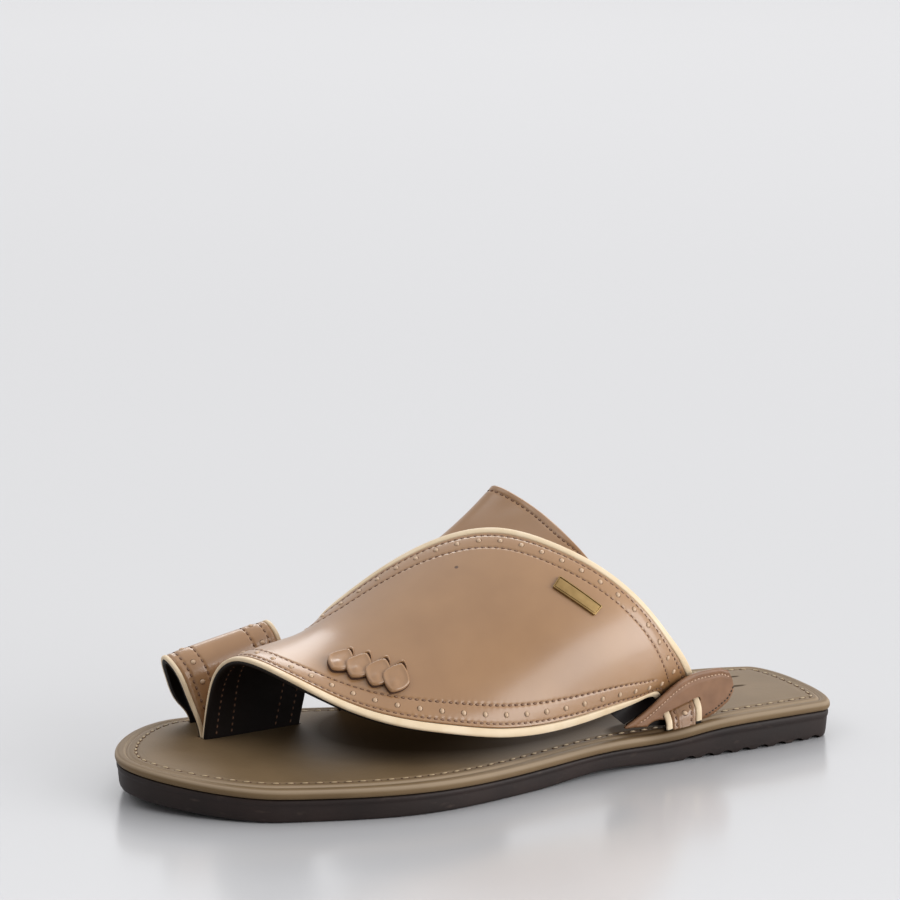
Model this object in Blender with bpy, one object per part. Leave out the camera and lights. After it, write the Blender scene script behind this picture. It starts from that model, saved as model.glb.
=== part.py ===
"""Open leather slide with a big-toe loop: sole, footbed, upper and trim, all cut from one last.

Measured along the last in millimetres: x runs from the heel to the toe, y to the outer side of the
foot and z up from the floor. Tables give x in percent of the length, y in percent of the ball width
and z in percent of the instep height.
"""

import math
from collections import namedtuple

import bmesh
import bpy
import numpy as np

MM = 0.001

# Measures of the last
LAST_LENGTH = 285.0
BALL_WIDTH = 111.0
INSTEP_HEIGHT = 97.5
HEEL_HEIGHT = 11.0

# Clearances between pieces
FIT_GAP = 0.3

# Sole outline: half width and centre line at shares of the length
OutlineRow = namedtuple("OutlineRow", "along half_width centre")
SOLE_OUTLINE = (
    OutlineRow(0.0, 24.6, 1.4),
    OutlineRow(7.0, 28.2, 0.3),
    OutlineRow(14.0, 30.0, 0.0),
    OutlineRow(27.0, 30.7, 0.6),
    OutlineRow(40.0, 33.0, 2.0),
    OutlineRow(54.0, 41.7, 1.5),
    OutlineRow(68.0, 49.4, -2.0),
    OutlineRow(80.0, 48.3, -7.7),
    OutlineRow(88.0, 44.1, -10.1),
    OutlineRow(94.0, 39.0, -9.5),
    OutlineRow(100.0, 32.8, -5.6),
)
HEEL_ROUND = 0.034
HEEL_POWER = 2.3
TOE_ROUND = 0.15
TOE_POWER = 1.85
STATIONS = 38

# Seam between outsole and footbed: height in percent of the heel height
SeamRow = namedtuple("SeamRow", "along height")
SEAM = (
    SeamRow(0.0, 96.0),
    SeamRow(16.0, 100.0),
    SeamRow(35.0, 81.0),
    SeamRow(50.0, 79.0),
    SeamRow(67.0, 77.0),
    SeamRow(84.0, 79.0),
    SeamRow(93.0, 94.0),
    SeamRow(100.0, 122.0),
)

# Tread: flat under heel and ball, lifted under the arch and at the toe
ARCH_FROM = 0.26
ARCH_TO = 0.50
ARCH_RISE = 1.8
SPRING_FROM = 0.82
TOE_SPRING = 4.6

# Outsole side, from the tread up: set in from the sole outline, and share of the side's height
SideRow = namedtuple("SideRow", "inset height")
OUTSOLE_SIDE = (
    SideRow(2.4, 0.0),
    SideRow(1.5, 0.12),
    SideRow(1.1, 0.62),
    SideRow(1.1, 0.74),
    SideRow(0.6, 0.80),
    SideRow(0.6, 1.0),
)

# Edge lugs: notches cut into the tread from its rim
LUG_NOTCH_WIDTH = 2.8
LUG_NOTCH_LENGTH = 11.0
LUG_NOTCH_DEPTH = 1.7
LugRow = namedtuple("LugRow", "first last count")
LUGS = (
    LugRow(0.05, 0.25, 7),
    LugRow(0.53, 0.82, 9),
)

# Footbed from its underside up: set in from the outline, rise above the seam
BedRow = namedtuple("BedRow", "inset rise")
FOOTBED_PROFILE = (
    BedRow(2.0, 0.3),
    BedRow(0.5, 0.8),
    BedRow(0.0, 1.9),
    BedRow(0.3, 3.0),
    BedRow(1.3, 3.9),
    BedRow(2.7, 4.2),
    BedRow(4.0, 3.9),
    BedRow(5.2, 3.4),
    BedRow(6.4, 3.7),
    BedRow(8.5, 4.5),
)
SLIT_LOW = 0.0
SLIT_HIGH = 30.0
SLIT_CORNERS = 7

# Upper wall: top leather over a lining that shows past it as a rim
WALL = 3.0
LINING = 1.0
RIM = 3.3
STRAP_WALL = 2.4
LAP = 14.0
LAP_SINK = 0.5

# A row per section across a strap: its two edges, crown of the section and wall thickness
Section = namedtuple("Section", "front back crown wall")
RING_SECTIONS = (
    Section((84.0, -47.0, 10.1), (71.6, -49.0, 9.9), 0.0, 2.2),
    Section((84.1, -47.0, 14.4), (71.6, -49.2, 13.9), 0.0, 2.2),
    Section((85.8, -48.3, 22.3), (72.3, -50.7, 27.7), 0.2, 2.8),
    Section((87.5, -46.8, 33.2), (73.1, -48.6, 41.0), 0.3, 3.0),
    Section((88.6, -43.0, 40.5), (73.7, -44.6, 49.5), 0.3, 3.0),
    Section((89.0, -37.8, 43.8), (73.8, -39.2, 53.0), 0.3, 3.0),
    Section((88.4, -32.3, 40.6), (73.2, -34.4, 49.0), 0.3, 3.0),
    Section((87.3, -28.5, 31.2), (72.4, -32.6, 36.9), 0.3, 2.8),
    Section((86.3, -26.5, 22.1), (71.8, -31.8, 24.6), 0.2, 2.4),
    Section((85.7, -25.6, 14.3), (71.2, -31.4, 13.8), 0.0, 2.2),
    Section((85.7, -24.9, 10.1), (71.2, -30.6, 9.8), 0.0, 2.2),
)
VAMP_SECTIONS = (
    Section((85.7, -25.7, 10.1), (71.2, -31.4, 9.8), 0.0, 2.2),
    Section((85.7, -25.1, 14.4), (71.2, -30.8, 13.8), 0.0, 2.2),
    Section((85.4, -22.7, 30.8), (70.5, -30.6, 25.6), 0.5, 2.8),
    Section((85.1, -18.0, 42.1), (70.1, -30.5, 34.9), 1.5, 3.0),
    Section((84.0, -5.4, 50.7), (69.5, -30.2, 44.6), 3.0, 3.0),
    Section((81.2, 10.8, 48.8), (68.4, -29.7, 53.9), 2.0, 3.0),
    Section((76.0, 23.4, 39.9), (65.3, -28.6, 62.4), 3.5, 3.0),
    Section((69.5, 33.3, 32.0), (59.8, -24.8, 74.1), 6.0, 3.0),
    Section((62.1, 38.1, 26.9), (52.6, -18.5, 85.1), 8.0, 3.0),
    Section((55.1, 39.6, 23.2), (46.0, -8.1, 89.4), 9.0, 3.0),
    Section((48.4, 38.3, 21.9), (40.5, 5.4, 85.1), 9.0, 3.0),
    Section((42.1, 35.6, 22.8), (35.6, 15.8, 76.4), 8.0, 3.0),
    Section((36.5, 31.5, 24.2), (30.7, 23.0, 62.1), 6.0, 3.0),
    Section((32.3, 26.8, 24.9), (26.8, 25.0, 47.7), 3.0, 2.6),
    Section((29.3, 23.6, 25.4), (23.8, 23.4, 36.9), 0.6, 2.2),
    Section((28.4, 23.4, 23.6), (22.9, 23.3, 29.1), 0.0, 2.0),
    Section((28.2, 26.3, 20.8), (22.8, 26.1, 25.8), 0.0, 2.0),
    Section((28.2, 29.0, 17.5), (22.8, 28.8, 22.5), 0.0, 2.0),
    Section((28.2, 29.3, 13.6), (22.8, 29.1, 15.6), 0.0, 2.0),
    Section((28.2, 29.3, 10.5), (22.8, 29.1, 11.4), 0.0, 2.0),
)
STRAP_SECTIONS = (
    Section((63.2, -43.1, 9.2), (40.0, -27.3, 9.2), 0.0, STRAP_WALL),
    Section((63.2, -43.2, 13.9), (40.0, -27.5, 13.9), 0.0, STRAP_WALL),
    Section((64.2, -46.4, 34.9), (38.8, -34.7, 41.0), 2.0, STRAP_WALL),
    Section((64.4, -45.0, 47.2), (38.9, -38.7, 71.8), 2.0, STRAP_WALL),
    Section((63.5, -40.5, 54.9), (41.1, -36.5, 93.3), -2.0, STRAP_WALL),
    Section((62.3, -34.7, 61.8), (42.5, -28.4, 100.5), -4.0, STRAP_WALL),
    Section((61.8, -31.1, 65.4), (39.7, -15.3, 94.7), -3.0, STRAP_WALL),
    Section((61.6, -28.8, 66.9), (38.2, 2.7, 86.8), -1.0, STRAP_WALL),
)
# Rows of the vamp between which the strap laps under its back edge
LAP_FROM_ROW = 6.7
LAP_TO_ROW = 10.9

# Steps between which a strip's slopes are taken, as shares of its length and width
SLOPE_STEP = 0.004
FACE_STEP = 0.002

RING_STEPS = 27
RING_COLUMNS = 7
VAMP_STEPS = 45
VAMP_COLUMNS = 10
STRAP_STEPS = 22
STRAP_COLUMNS = 10

# Piping: distance in from the edge, height above the outer face
PipingPoint = namedtuple("PipingPoint", "inward height")
PIPING_PROFILE = (
    PipingPoint(0.1, -1.7),
    PipingPoint(3.0, -1.7),
    PipingPoint(3.0, -0.3),
    PipingPoint(2.1, 0.1),
    PipingPoint(0.9, 0.0),
    PipingPoint(0.1, -0.6),
)
# Piping ends above the footbed, in rows of the strip's table
PipingEnds = namedtuple("PipingEnds", "first last")
RING_PIPING = PipingEnds(1.15, len(RING_SECTIONS) - 2.15)
VAMP_PIPING = PipingEnds(1.1, len(VAMP_SECTIONS) - 2.2)

# Keeper: a leaf standing on the outer edge of the footbed
KEEPER_FRONT = (34.0, 25.9, 15.3)
KEEPER_BACK = (17.8, 25.2, 30.2)
KEEPER_WALL = 1.8
KEEPER_STAND = 4.4
KEEPER_BULGE = 0.2
KeeperRow = namedtuple("KeeperRow", "along upper lower")
KEEPER_SHAPE = (
    KeeperRow(0.0, 0.5, -0.5),
    KeeperRow(0.17, 3.2, -3.5),
    KeeperRow(0.30, 5.6, -6.5),
    KeeperRow(0.43, 7.4, -9.0),
    KeeperRow(0.60, 8.5, -10.9),
    KeeperRow(0.75, 7.4, -10.6),
    KeeperRow(0.88, 4.9, -6.6),
    KeeperRow(0.96, 2.4, -3.2),
    KeeperRow(1.0, 0.6, -0.6),
)
KEEPER_STEPS = 16
KEEPER_COLUMNS = 6
KEEPER_SLIT_FROM = 0.31
KEEPER_SLIT_TO = 0.71
KEEPER_SLIT_HALF = 3.2
KEEPER_SLIT_REACH = 6.0

# Petals on the vamp: place along and across the vamp, turn from the vamp's own length
PetalRow = namedtuple("PetalRow", "along across turn")
PETALS = (
    PetalRow(0.303, 0.300, 238.0),
    PetalRow(0.331, 0.275, 238.0),
    PetalRow(0.361, 0.244, 238.0),
    PetalRow(0.388, 0.219, 238.0),
)
PETAL_LENGTH = 12.5
PETAL_WIDTH = 10.0
PETAL_TAPER = 0.22
PETAL_WALL = 0.9
PETAL_LIFT = 2.3
PETAL_BEVEL = 0.82
PETAL_BEVEL_FROM = 0.7
PETAL_CORNERS = 18

# Plate on the vamp
PLATE_ALONG = 0.679
PLATE_ACROSS = 0.713
PLATE_TURN = -17.0
PLATE_LENGTH = 19.0
PLATE_WIDTH = 5.5
PLATE_WALL = 0.9
PLATE_STEPS = 6

# Colours of the materials in linear light, with roughness and metallic
Finish = namedtuple("Finish", "colour roughness metallic")
FINISHES = {
    "taupe_leather": Finish((0.36, 0.225, 0.125), 0.42, 0.0),
    "cream_leather": Finish((0.87, 0.72, 0.48), 0.5, 0.0),
    "olive_leather": Finish((0.16, 0.11, 0.06), 0.55, 0.0),
    "brown_rubber": Finish((0.04, 0.027, 0.025), 0.7, 0.0),
    "aged_brass": Finish((0.43, 0.32, 0.11), 0.35, 1.0),
}


def last_point(share):
    """A table's percentages as a point on the last."""
    along, across, up = share
    return np.array([along * LAST_LENGTH, across * BALL_WIDTH, up * INSTEP_HEIGHT]) / 100.0


def spline(knots, values):
    """A natural cubic curve through the values, one column for each coordinate."""
    knots = np.asarray(knots, float)
    values = np.asarray(values, float).reshape(len(knots), -1)
    step = np.diff(knots)
    slope = np.diff(values, axis=0) / step[:, None]
    system = np.eye(len(knots))
    right = np.zeros_like(values)
    for i in range(1, len(knots) - 1):
        system[i, i - 1] = step[i - 1]
        system[i, i] = 2.0 * (step[i - 1] + step[i])
        system[i, i + 1] = step[i]
        right[i] = 6.0 * (slope[i] - slope[i - 1])
    bend = np.linalg.solve(system, right)

    def at(place):
        place = np.atleast_1d(np.asarray(place, float))
        i = np.clip(np.searchsorted(knots, place) - 1, 0, len(knots) - 2)
        width = step[i][:, None]
        before = (knots[i + 1] - place)[:, None] / width
        after = (place - knots[i])[:, None] / width
        curve = (before**3 - before) * bend[i] + (after**3 - after) * bend[i + 1]
        return before * values[i] + after * values[i + 1] + curve * width**2 / 6.0

    return at


outline_along = [row.along / 100 for row in SOLE_OUTLINE]
half_width_at = spline(outline_along, [row.half_width * BALL_WIDTH / 100 for row in SOLE_OUTLINE])
centre_at = spline(outline_along, [row.centre * BALL_WIDTH / 100 for row in SOLE_OUTLINE])
seam_at = spline([row.along / 100 for row in SEAM], [row.height * HEEL_HEIGHT / 100 for row in SEAM])


def seam_height(x):
    """Height of the seam between outsole and footbed at x."""
    return seam_at(np.asarray(x) / LAST_LENGTH)[:, 0]


def tread_height(x):
    """Height of the tread at x: nought where the sole stands on the floor."""
    share = np.asarray(x) / LAST_LENGTH
    arch = np.clip((share - ARCH_FROM) / (ARCH_TO - ARCH_FROM), 0.0, 1.0)
    spring = np.clip((share - SPRING_FROM) / (1.0 - SPRING_FROM), 0.0, 1.0)
    return ARCH_RISE * np.sin(math.pi * arch) ** 2 + TOE_SPRING * spring**2


def end_rounding(share):
    """Share of the full half width that the rounded heel and toe leave."""
    heel = np.clip((HEEL_ROUND - share) / HEEL_ROUND, 0.0, 1.0)
    toe = np.clip((share - 1.0 + TOE_ROUND) / TOE_ROUND, 0.0, 1.0)
    heel_part = np.clip(1.0 - heel**HEEL_POWER, 0.0, 1.0) ** (1.0 / HEEL_POWER)
    return heel_part * np.clip(1.0 - toe**TOE_POWER, 0.0, 1.0) ** (1.0 / TOE_POWER)


def sole_loop(inset):
    """The sole outline set in by a distance: outer side from heel to toe, then back along the inner."""
    share = 0.5 - 0.5 * np.cos(np.linspace(0.0, math.pi, STATIONS + 1))
    half = half_width_at(share)[:, 0] * end_rounding(share)
    centre = centre_at(share)[:, 0]
    outer = np.stack([LAST_LENGTH * share, centre + half], 1)
    inner = np.stack([LAST_LENGTH * share, centre - half], 1)
    loop = np.vstack([outer, inner[-2:0:-1]])
    tangent = np.roll(loop, -1, 0) - np.roll(loop, 1, 0)
    tangent /= np.linalg.norm(tangent, axis=1)[:, None]
    return loop + inset * np.stack([tangent[:, 1], -tangent[:, 0]], 1)


def stacked_loops(loops):
    """A solid through loops of one size, from the lowest to the highest, closed across both ends."""
    size = len(loops[0])
    points = np.vstack(loops)
    faces = []
    for level in range(len(loops) - 1):
        for i in range(size):
            j = (i + 1) % size
            low = level * size
            faces.append((low + j, low + i, low + size + i, low + size + j))
    top = (len(loops) - 1) * size
    for i in range(size // 2):
        rung = [i, i + 1, size - i - 1, (size - i) % size]
        corners = list(dict.fromkeys(rung))
        faces.append(tuple(corners))
        faces.append(tuple(top + k for k in reversed(corners)))
    return points, faces


class Strip:
    """A strap's outer face: u along it from row to row, v across it from front edge to back edge."""

    def __init__(self, sections):
        front = np.array([last_point(s.front) for s in sections])
        back = np.array([last_point(s.back) for s in sections])
        middle = (front + back) / 2.0
        run = np.concatenate([[0.0], np.cumsum(np.linalg.norm(np.diff(middle, axis=0), axis=1))])
        self.knots = run / run[-1]
        self.front = spline(self.knots, front)
        self.back = spline(self.knots, back)
        self.crown = spline(self.knots, [s.crown for s in sections])
        self.walls = [s.wall for s in sections]

    def row(self, number):
        """Place along the strip of a row of its table, or of a share between two rows."""
        return np.interp(number, np.arange(len(self.knots)), self.knots)

    def steps(self, count, first=0.0, last=None):
        """Places along the strip, spread over its rows."""
        last = len(self.knots) - 1 if last is None else last
        return self.row(np.linspace(first, last, count))

    def wall(self, u):
        return np.interp(u, self.knots, self.walls)

    def point(self, u, v):
        """Point of the outer face, with the section bulged out by its crown."""
        u, v = np.broadcast_arrays(np.asarray(u, float), np.asarray(v, float))
        shape = u.shape
        u = u.ravel()
        v = v.ravel()[:, None]
        front = self.front(u)
        chord = self.back(u) - front
        ahead = np.clip(u + SLOPE_STEP, 0.0, 1.0)
        behind = np.clip(u - SLOPE_STEP, 0.0, 1.0)
        along = self.front(ahead) + self.back(ahead) - self.front(behind) - self.back(behind)
        out = np.cross(along, chord)
        out /= np.linalg.norm(out, axis=1)[:, None]
        return (front + v * chord + 4.0 * v * (1.0 - v) * self.crown(u) * out).reshape(shape + (3,))

    def frame(self, u, v):
        """Point, its slopes along and across the strip, and the outward normal."""
        ahead = np.clip(np.asarray(u) + FACE_STEP, 0.0, 1.0)
        behind = np.clip(np.asarray(u) - FACE_STEP, 0.0, 1.0)
        along = (self.point(ahead, v) - self.point(behind, v)) / (ahead - behind)[..., None]
        across = self.point(u, np.asarray(v) + FACE_STEP) - self.point(u, np.asarray(v) - FACE_STEP)
        across /= 2.0 * FACE_STEP
        normal = np.cross(along, across)
        normal /= np.linalg.norm(normal, axis=-1)[..., None]
        return self.point(u, v), along, across, normal

    def width(self, u):
        """Length of the section from edge to edge."""
        v = np.linspace(0.0, 1.0, 13)
        points = self.point(np.asarray(u)[:, None], v[None, :])
        return np.linalg.norm(np.diff(points, axis=1), axis=2).sum(1)


def shell(points, normals, top, bottom, scale):
    """A thin solid over a grid of points: top and bottom list a column and its height, in path order."""
    rows = len(points)
    path = top + bottom[::-1]
    size = len(path)
    columns = [c for c, _ in path]
    heights = np.array([h for _, h in path])
    vertices = points[:, columns] + normals[:, columns] * (heights[None, :, None] * scale[:, None, None])
    faces = []
    for row in range(rows - 1):
        for i in range(size):
            j = (i + 1) % size
            low = row * size
            faces.append((low + i, low + j, low + size + j, low + size + i))
    bottom_at = {c: size - 1 - k for k, (c, _) in enumerate(bottom)}
    for k in range(len(top) - 1):
        left, left_height = top[k]
        right, right_height = top[k + 1]
        if left == right:
            continue
        under_left = [i for i, (c, h) in enumerate(top) if c == left and h < left_height]
        under_right = [i for i, (c, h) in enumerate(top) if c == right and h < right_height]
        cell = [bottom_at[left], *under_left, k, k + 1, *under_right, bottom_at[right]]
        faces.append(tuple(cell))
        faces.append(tuple((rows - 1) * size + i for i in reversed(cell)))
    return vertices.reshape(-1, 3), faces


def rimmed_shell(strip, steps, columns):
    """A strap of full thickness between two rims on which only the lining runs out to the edge."""
    u = strip.steps(steps)
    rim = RIM / strip.width(u)
    inner = rim[:, None] + (1.0 - 2.0 * rim)[:, None] * np.linspace(0.0, 1.0, columns + 1)[None, :]
    v = np.hstack([np.zeros((steps, 1)), inner, np.ones((steps, 1))])
    points, _, _, normals = strip.frame(np.repeat(u[:, None], v.shape[1], 1), v)
    last = columns + 2
    ledge = LINING - WALL
    top = [(0, ledge), (1, ledge)]
    top += [(c, 0.0) for c in range(1, last)]
    top += [(last - 1, ledge), (last, ledge)]
    bottom = [(c, -WALL) for c in range(last + 1)]
    return shell(points, normals, top, bottom, strip.wall(u) / WALL)


def strap_grid(vamp):
    """Instep strap: rows up the inner side and over the instep, then rows under the vamp's back edge."""
    share = np.linspace(0.0, 1.0, STRAP_COLUMNS + 1)
    free = Strip(STRAP_SECTIONS)
    rows = [free.point(np.full_like(share, knot), share) for knot in free.knots]
    u = vamp.row(LAP_FROM_ROW + (LAP_TO_ROW - LAP_FROM_ROW) * share)
    sink = WALL - LAP_SINK
    for lap in (0.0, LAP / 2.0, LAP):
        point, _, _, normal = vamp.frame(u, 1.0 - lap / vamp.width(u))
        rows.append(point - sink * normal)
    rows = np.array(rows)
    run = np.linalg.norm(np.diff(rows, axis=0), axis=2).mean(1)
    knots = np.concatenate([[0.0], np.cumsum(run)]) / run.sum()
    surface = spline(knots, rows.reshape(len(rows), -1))
    c = np.interp(np.linspace(0.0, len(rows) - 1, STRAP_STEPS), np.arange(len(rows)), knots)
    points = surface(c).reshape(len(c), len(share), 3)
    along = np.gradient(points, axis=0)
    across = np.gradient(points, axis=1)
    normals = np.cross(along, across)
    normals /= np.linalg.norm(normals, axis=2)[:, :, None]
    return points, normals


def strap_shell(vamp):
    points, normals = strap_grid(vamp)
    top = [(c, 0.0) for c in range(STRAP_COLUMNS + 1)]
    bottom = [(c, -STRAP_WALL) for c in range(STRAP_COLUMNS + 1)]
    return shell(points, normals, top, bottom, np.ones(len(points)))


def piping(strip, steps, first, last, from_back):
    """A rounded strip on one rim of a strap."""
    u = strip.steps(steps, first, last)
    inward = np.array([p.inward for p in PIPING_PROFILE])
    v = inward[None, :] / strip.width(u)[:, None]
    v = 1.0 - v if from_back else v
    points, _, _, normals = strip.frame(np.repeat(u[:, None], v.shape[1], 1), v)
    heights = np.array([p.height for p in PIPING_PROFILE])
    scale = strip.wall(u) / WALL
    vertices = points + normals * (heights[None, :, None] * scale[:, None, None])
    size = len(heights)
    faces = []
    for row in range(steps - 1):
        for i in range(size):
            j = (i + 1) % size
            quad = (row * size + i, row * size + j, (row + 1) * size + j, (row + 1) * size + i)
            faces.append(quad)
    faces.append(tuple(reversed(range(size))))
    faces.append(tuple((steps - 1) * size + i for i in range(size)))
    return vertices.reshape(-1, 3), faces


def keeper_frame():
    """Foot of the leaf's axis, the axis itself and the direction across it."""
    front = last_point(KEEPER_FRONT)
    axis = last_point(KEEPER_BACK) - front
    length = np.linalg.norm(axis)
    axis = axis / length
    across = np.cross(axis, [0.0, 1.0, 0.0])
    across /= np.linalg.norm(across)
    return front, axis, across * np.sign(across[2]), length


def keeper_shell():
    """The leaf: a bowed plate whose lower edge is cut to stand on the footbed."""
    front, axis, across, length = keeper_frame()
    along = np.linspace(0.0, 1.0, KEEPER_STEPS)
    edges = spline([r.along for r in KEEPER_SHAPE], [(r.upper, r.lower) for r in KEEPER_SHAPE])(along)
    share = np.linspace(0.0, 1.0, KEEPER_COLUMNS + 1)
    middle = front + (along * length)[:, None] * axis
    floor = seam_height(middle[:, 0]) + KEEPER_STAND
    lower = np.maximum(edges[:, 1], (floor - middle[:, 2]) / across[2])
    reach = lower[:, None] + (edges[:, 0] - lower)[:, None] * share
    points = middle[:, None, :] + reach[:, :, None] * across
    points[:, :, 1] += KEEPER_BULGE * np.sin(math.pi * along)[:, None]
    normals = np.cross(np.gradient(points, axis=0), np.gradient(points, axis=1))
    normals /= np.linalg.norm(normals, axis=2)[:, :, None]
    normals *= np.sign(normals[:, :, 1:2].mean())
    half = KEEPER_WALL / 2.0
    top = [(c, half) for c in range(KEEPER_COLUMNS + 1)]
    bottom = [(c, -half) for c in range(KEEPER_COLUMNS + 1)]
    return shell(points, normals, top, bottom, np.ones(len(points)))


def on_vamp(vamp, place, turn, local):
    """Points of a small flat pattern laid on the vamp: local columns are along, across and height."""
    u0 = np.array([place[0]])
    v0 = np.array([place[1]])
    _, along, across, normal = (a[0] for a in vamp.frame(u0, v0))
    first = along / np.linalg.norm(along)
    second = np.cross(normal, first)
    angle = math.radians(turn)
    one = math.cos(angle) * first + math.sin(angle) * second
    two = math.cos(angle) * second - math.sin(angle) * first
    shift = local[:, :1] * one + local[:, 1:2] * two
    slopes = np.stack([along, across], 1)
    moves = np.linalg.lstsq(slopes, shift.T, rcond=None)[0].T
    point, _, _, normals = vamp.frame(u0 + moves[:, 0], v0 + moves[:, 1])
    return point + local[:, 2:3] * normals


def petal_solid(vamp, row):
    """A tongue lying on the vamp, its broad tip lifted over the next one in the row."""
    angle = np.linspace(0.0, 2.0 * math.pi, PETAL_CORNERS, endpoint=False)
    along = 0.5 * PETAL_LENGTH * np.cos(angle)
    across = 0.5 * PETAL_WIDTH * np.sin(angle) * (1.0 + PETAL_TAPER * np.cos(angle))
    turn = math.radians(row.turn)
    toward_tail = along * math.cos(turn) - across * math.sin(turn)
    lift = PETAL_LIFT * (0.5 - toward_tail / PETAL_LENGTH)
    base = FIT_GAP + lift
    local = np.vstack(
        [
            np.stack([along, across, base], 1),
            np.stack([along, across, base + PETAL_BEVEL_FROM * PETAL_WALL], 1),
            np.stack([PETAL_BEVEL * along, PETAL_BEVEL * across, base + PETAL_WALL], 1),
        ]
    )
    points = on_vamp(vamp, (row.along, row.across), row.turn, local)
    size = PETAL_CORNERS
    faces = []
    for level in range(2):
        for i in range(size):
            j = (i + 1) % size
            low = level * size
            faces.append((low + i, low + j, low + size + j, low + size + i))
    faces.append(tuple(reversed(range(size))))
    faces.append(tuple(2 * size + i for i in range(size)))
    return points, faces


def plate_solid(vamp):
    """A thin plate bent to the vamp."""
    along = np.linspace(-0.5, 0.5, PLATE_STEPS + 1) * PLATE_LENGTH
    across = np.array([-0.5, 0.5]) * PLATE_WIDTH
    low = FIT_GAP
    ring = ((across[0], low), (across[1], low), (across[1], low + PLATE_WALL), (across[0], low + PLATE_WALL))
    local = np.array([(a, b, h) for a in along for b, h in ring])
    points = on_vamp(vamp, (PLATE_ALONG, PLATE_ACROSS), PLATE_TURN, local)
    faces = []
    for row in range(PLATE_STEPS):
        for i in range(4):
            j = (i + 1) % 4
            faces.append((row * 4 + j, row * 4 + i, row * 4 + 4 + i, row * 4 + 4 + j))
    faces.append((0, 1, 2, 3))
    faces.append(tuple(PLATE_STEPS * 4 + i for i in (3, 2, 1, 0)))
    return points, faces


def prism(path, width, low, high):
    """A cutter along a path on the footbed, run on past both ends of it."""
    path = np.asarray(path, float)[:, :2]
    tangent = np.gradient(path, axis=0)
    tangent /= np.linalg.norm(tangent, axis=1)[:, None]
    path = path.copy()
    path[0] -= FIT_GAP * tangent[0]
    path[-1] += FIT_GAP * tangent[-1]
    side = np.stack([-tangent[:, 1], tangent[:, 0]], 1) * width / 2.0
    outline = np.vstack([path + side, (path - side)[::-1]])
    size = len(outline)
    points = np.vstack([np.column_stack([outline, np.full(size, z)]) for z in (low, high)])
    faces = [(i, (i + 1) % size, size + (i + 1) % size, size + i) for i in range(size)]
    half = size // 2
    for i in range(half - 1):
        quad = (i, i + 1, size - i - 2, size - i - 1)
        faces.append(tuple(reversed(quad)))
        faces.append(tuple(size + k for k in quad))
    return points, faces


def box(centre, directions, halves):
    """A box with its own directions."""
    corners = [(a, b, c) for a in (-1, 1) for b in (-1, 1) for c in (-1, 1)]
    points = [centre + sum(s * h * np.asarray(d) for s, h, d in zip(k, halves, directions)) for k in corners]
    faces = [(0, 1, 3, 2), (4, 6, 7, 5), (0, 4, 5, 1), (2, 3, 7, 6), (0, 2, 6, 4), (1, 5, 7, 3)]
    return np.array(points), faces


def material(slot):
    finish = FINISHES[slot]
    made = bpy.data.materials.get(slot) or bpy.data.materials.new(slot)
    made.use_nodes = True
    shader = made.node_tree.nodes["Principled BSDF"]
    shader.inputs["Base Color"].default_value = (*finish.colour, 1.0)
    shader.inputs["Roughness"].default_value = finish.roughness
    shader.inputs["Metallic"].default_value = finish.metallic
    made.diffuse_color = (*finish.colour, 1.0)
    return made


def add_object(name, solid, slot=None):
    """A named object from points in millimetres and faces, wound so that its normals face out."""
    points, faces = solid
    mesh = bpy.data.meshes.new(name)
    mesh.from_pydata([tuple(p * MM) for p in np.asarray(points)], [], faces)
    shape = bmesh.new()
    shape.from_mesh(mesh)
    bmesh.ops.recalc_face_normals(shape, faces=shape.faces)
    bmesh.ops.triangulate(shape, faces=shape.faces)
    shape.to_mesh(mesh)
    shape.free()
    made = bpy.data.objects.new(name, mesh)
    bpy.context.scene.collection.objects.link(made)
    if slot:
        made.data.materials.append(material(slot))
    return made


def combine(target, tool, operation):
    """Join a tool to a target, or cut it away, and drop the tool."""
    modifier = target.modifiers.new(operation, "BOOLEAN")
    modifier.object = tool
    modifier.operation = operation
    modifier.solver = "EXACT"
    bpy.context.view_layer.update()
    graph = bpy.context.evaluated_depsgraph_get()
    mesh = bpy.data.meshes.new_from_object(target.evaluated_get(graph))
    target.modifiers.remove(modifier)
    target.data = mesh
    bpy.data.objects.remove(tool)


def clean(target):
    """Merge doubled points and drop faces without area after the cuts."""
    shape = bmesh.new()
    shape.from_mesh(target.data)
    bmesh.ops.remove_doubles(shape, verts=shape.verts, dist=2e-6)
    bmesh.ops.dissolve_degenerate(shape, edges=shape.edges, dist=2e-6)
    bmesh.ops.triangulate(shape, faces=shape.faces)
    shape.to_mesh(target.data)
    shape.free()


def shade(target, angle):
    """Round faces are shaded smooth, and edges sharper than the angle stay crisp."""
    target.data.shade_smooth()
    target.data.set_sharp_from_angle(angle=math.radians(angle))


def lug_notches():
    """Boxes cut into the tread's rim, square to the outline, on both sides of heel and ball."""
    points = []
    faces = []
    loop = sole_loop(0.0)
    half = len(loop) // 2
    for side in (loop[: half + 1], np.vstack([loop[half:], loop[:1]])[::-1]):
        share = side[:, 0] / LAST_LENGTH
        for row in LUGS:
            for place in np.linspace(row.first, row.last, row.count):
                edge = np.array([np.interp(place, share, side[:, k]) for k in (0, 1)])
                after = np.array([np.interp(place + 0.01, share, side[:, k]) for k in (0, 1)])
                tangent = np.append((after - edge) / np.linalg.norm(after - edge), 0.0)
                across = np.array([-tangent[1], tangent[0], 0.0])
                halves = (LUG_NOTCH_WIDTH / 2.0, LUG_NOTCH_LENGTH, LUG_NOTCH_DEPTH)
                centre = np.array([edge[0], edge[1], tread_height(np.array([edge[0]]))[0]])
                corners, quads = box(centre, (tangent, across, (0.0, 0.0, 1.0)), halves)
                faces += [tuple(len(points) * 8 + k for k in quad) for quad in quads]
                points.append(corners)
    return np.vstack(points), faces


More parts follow.
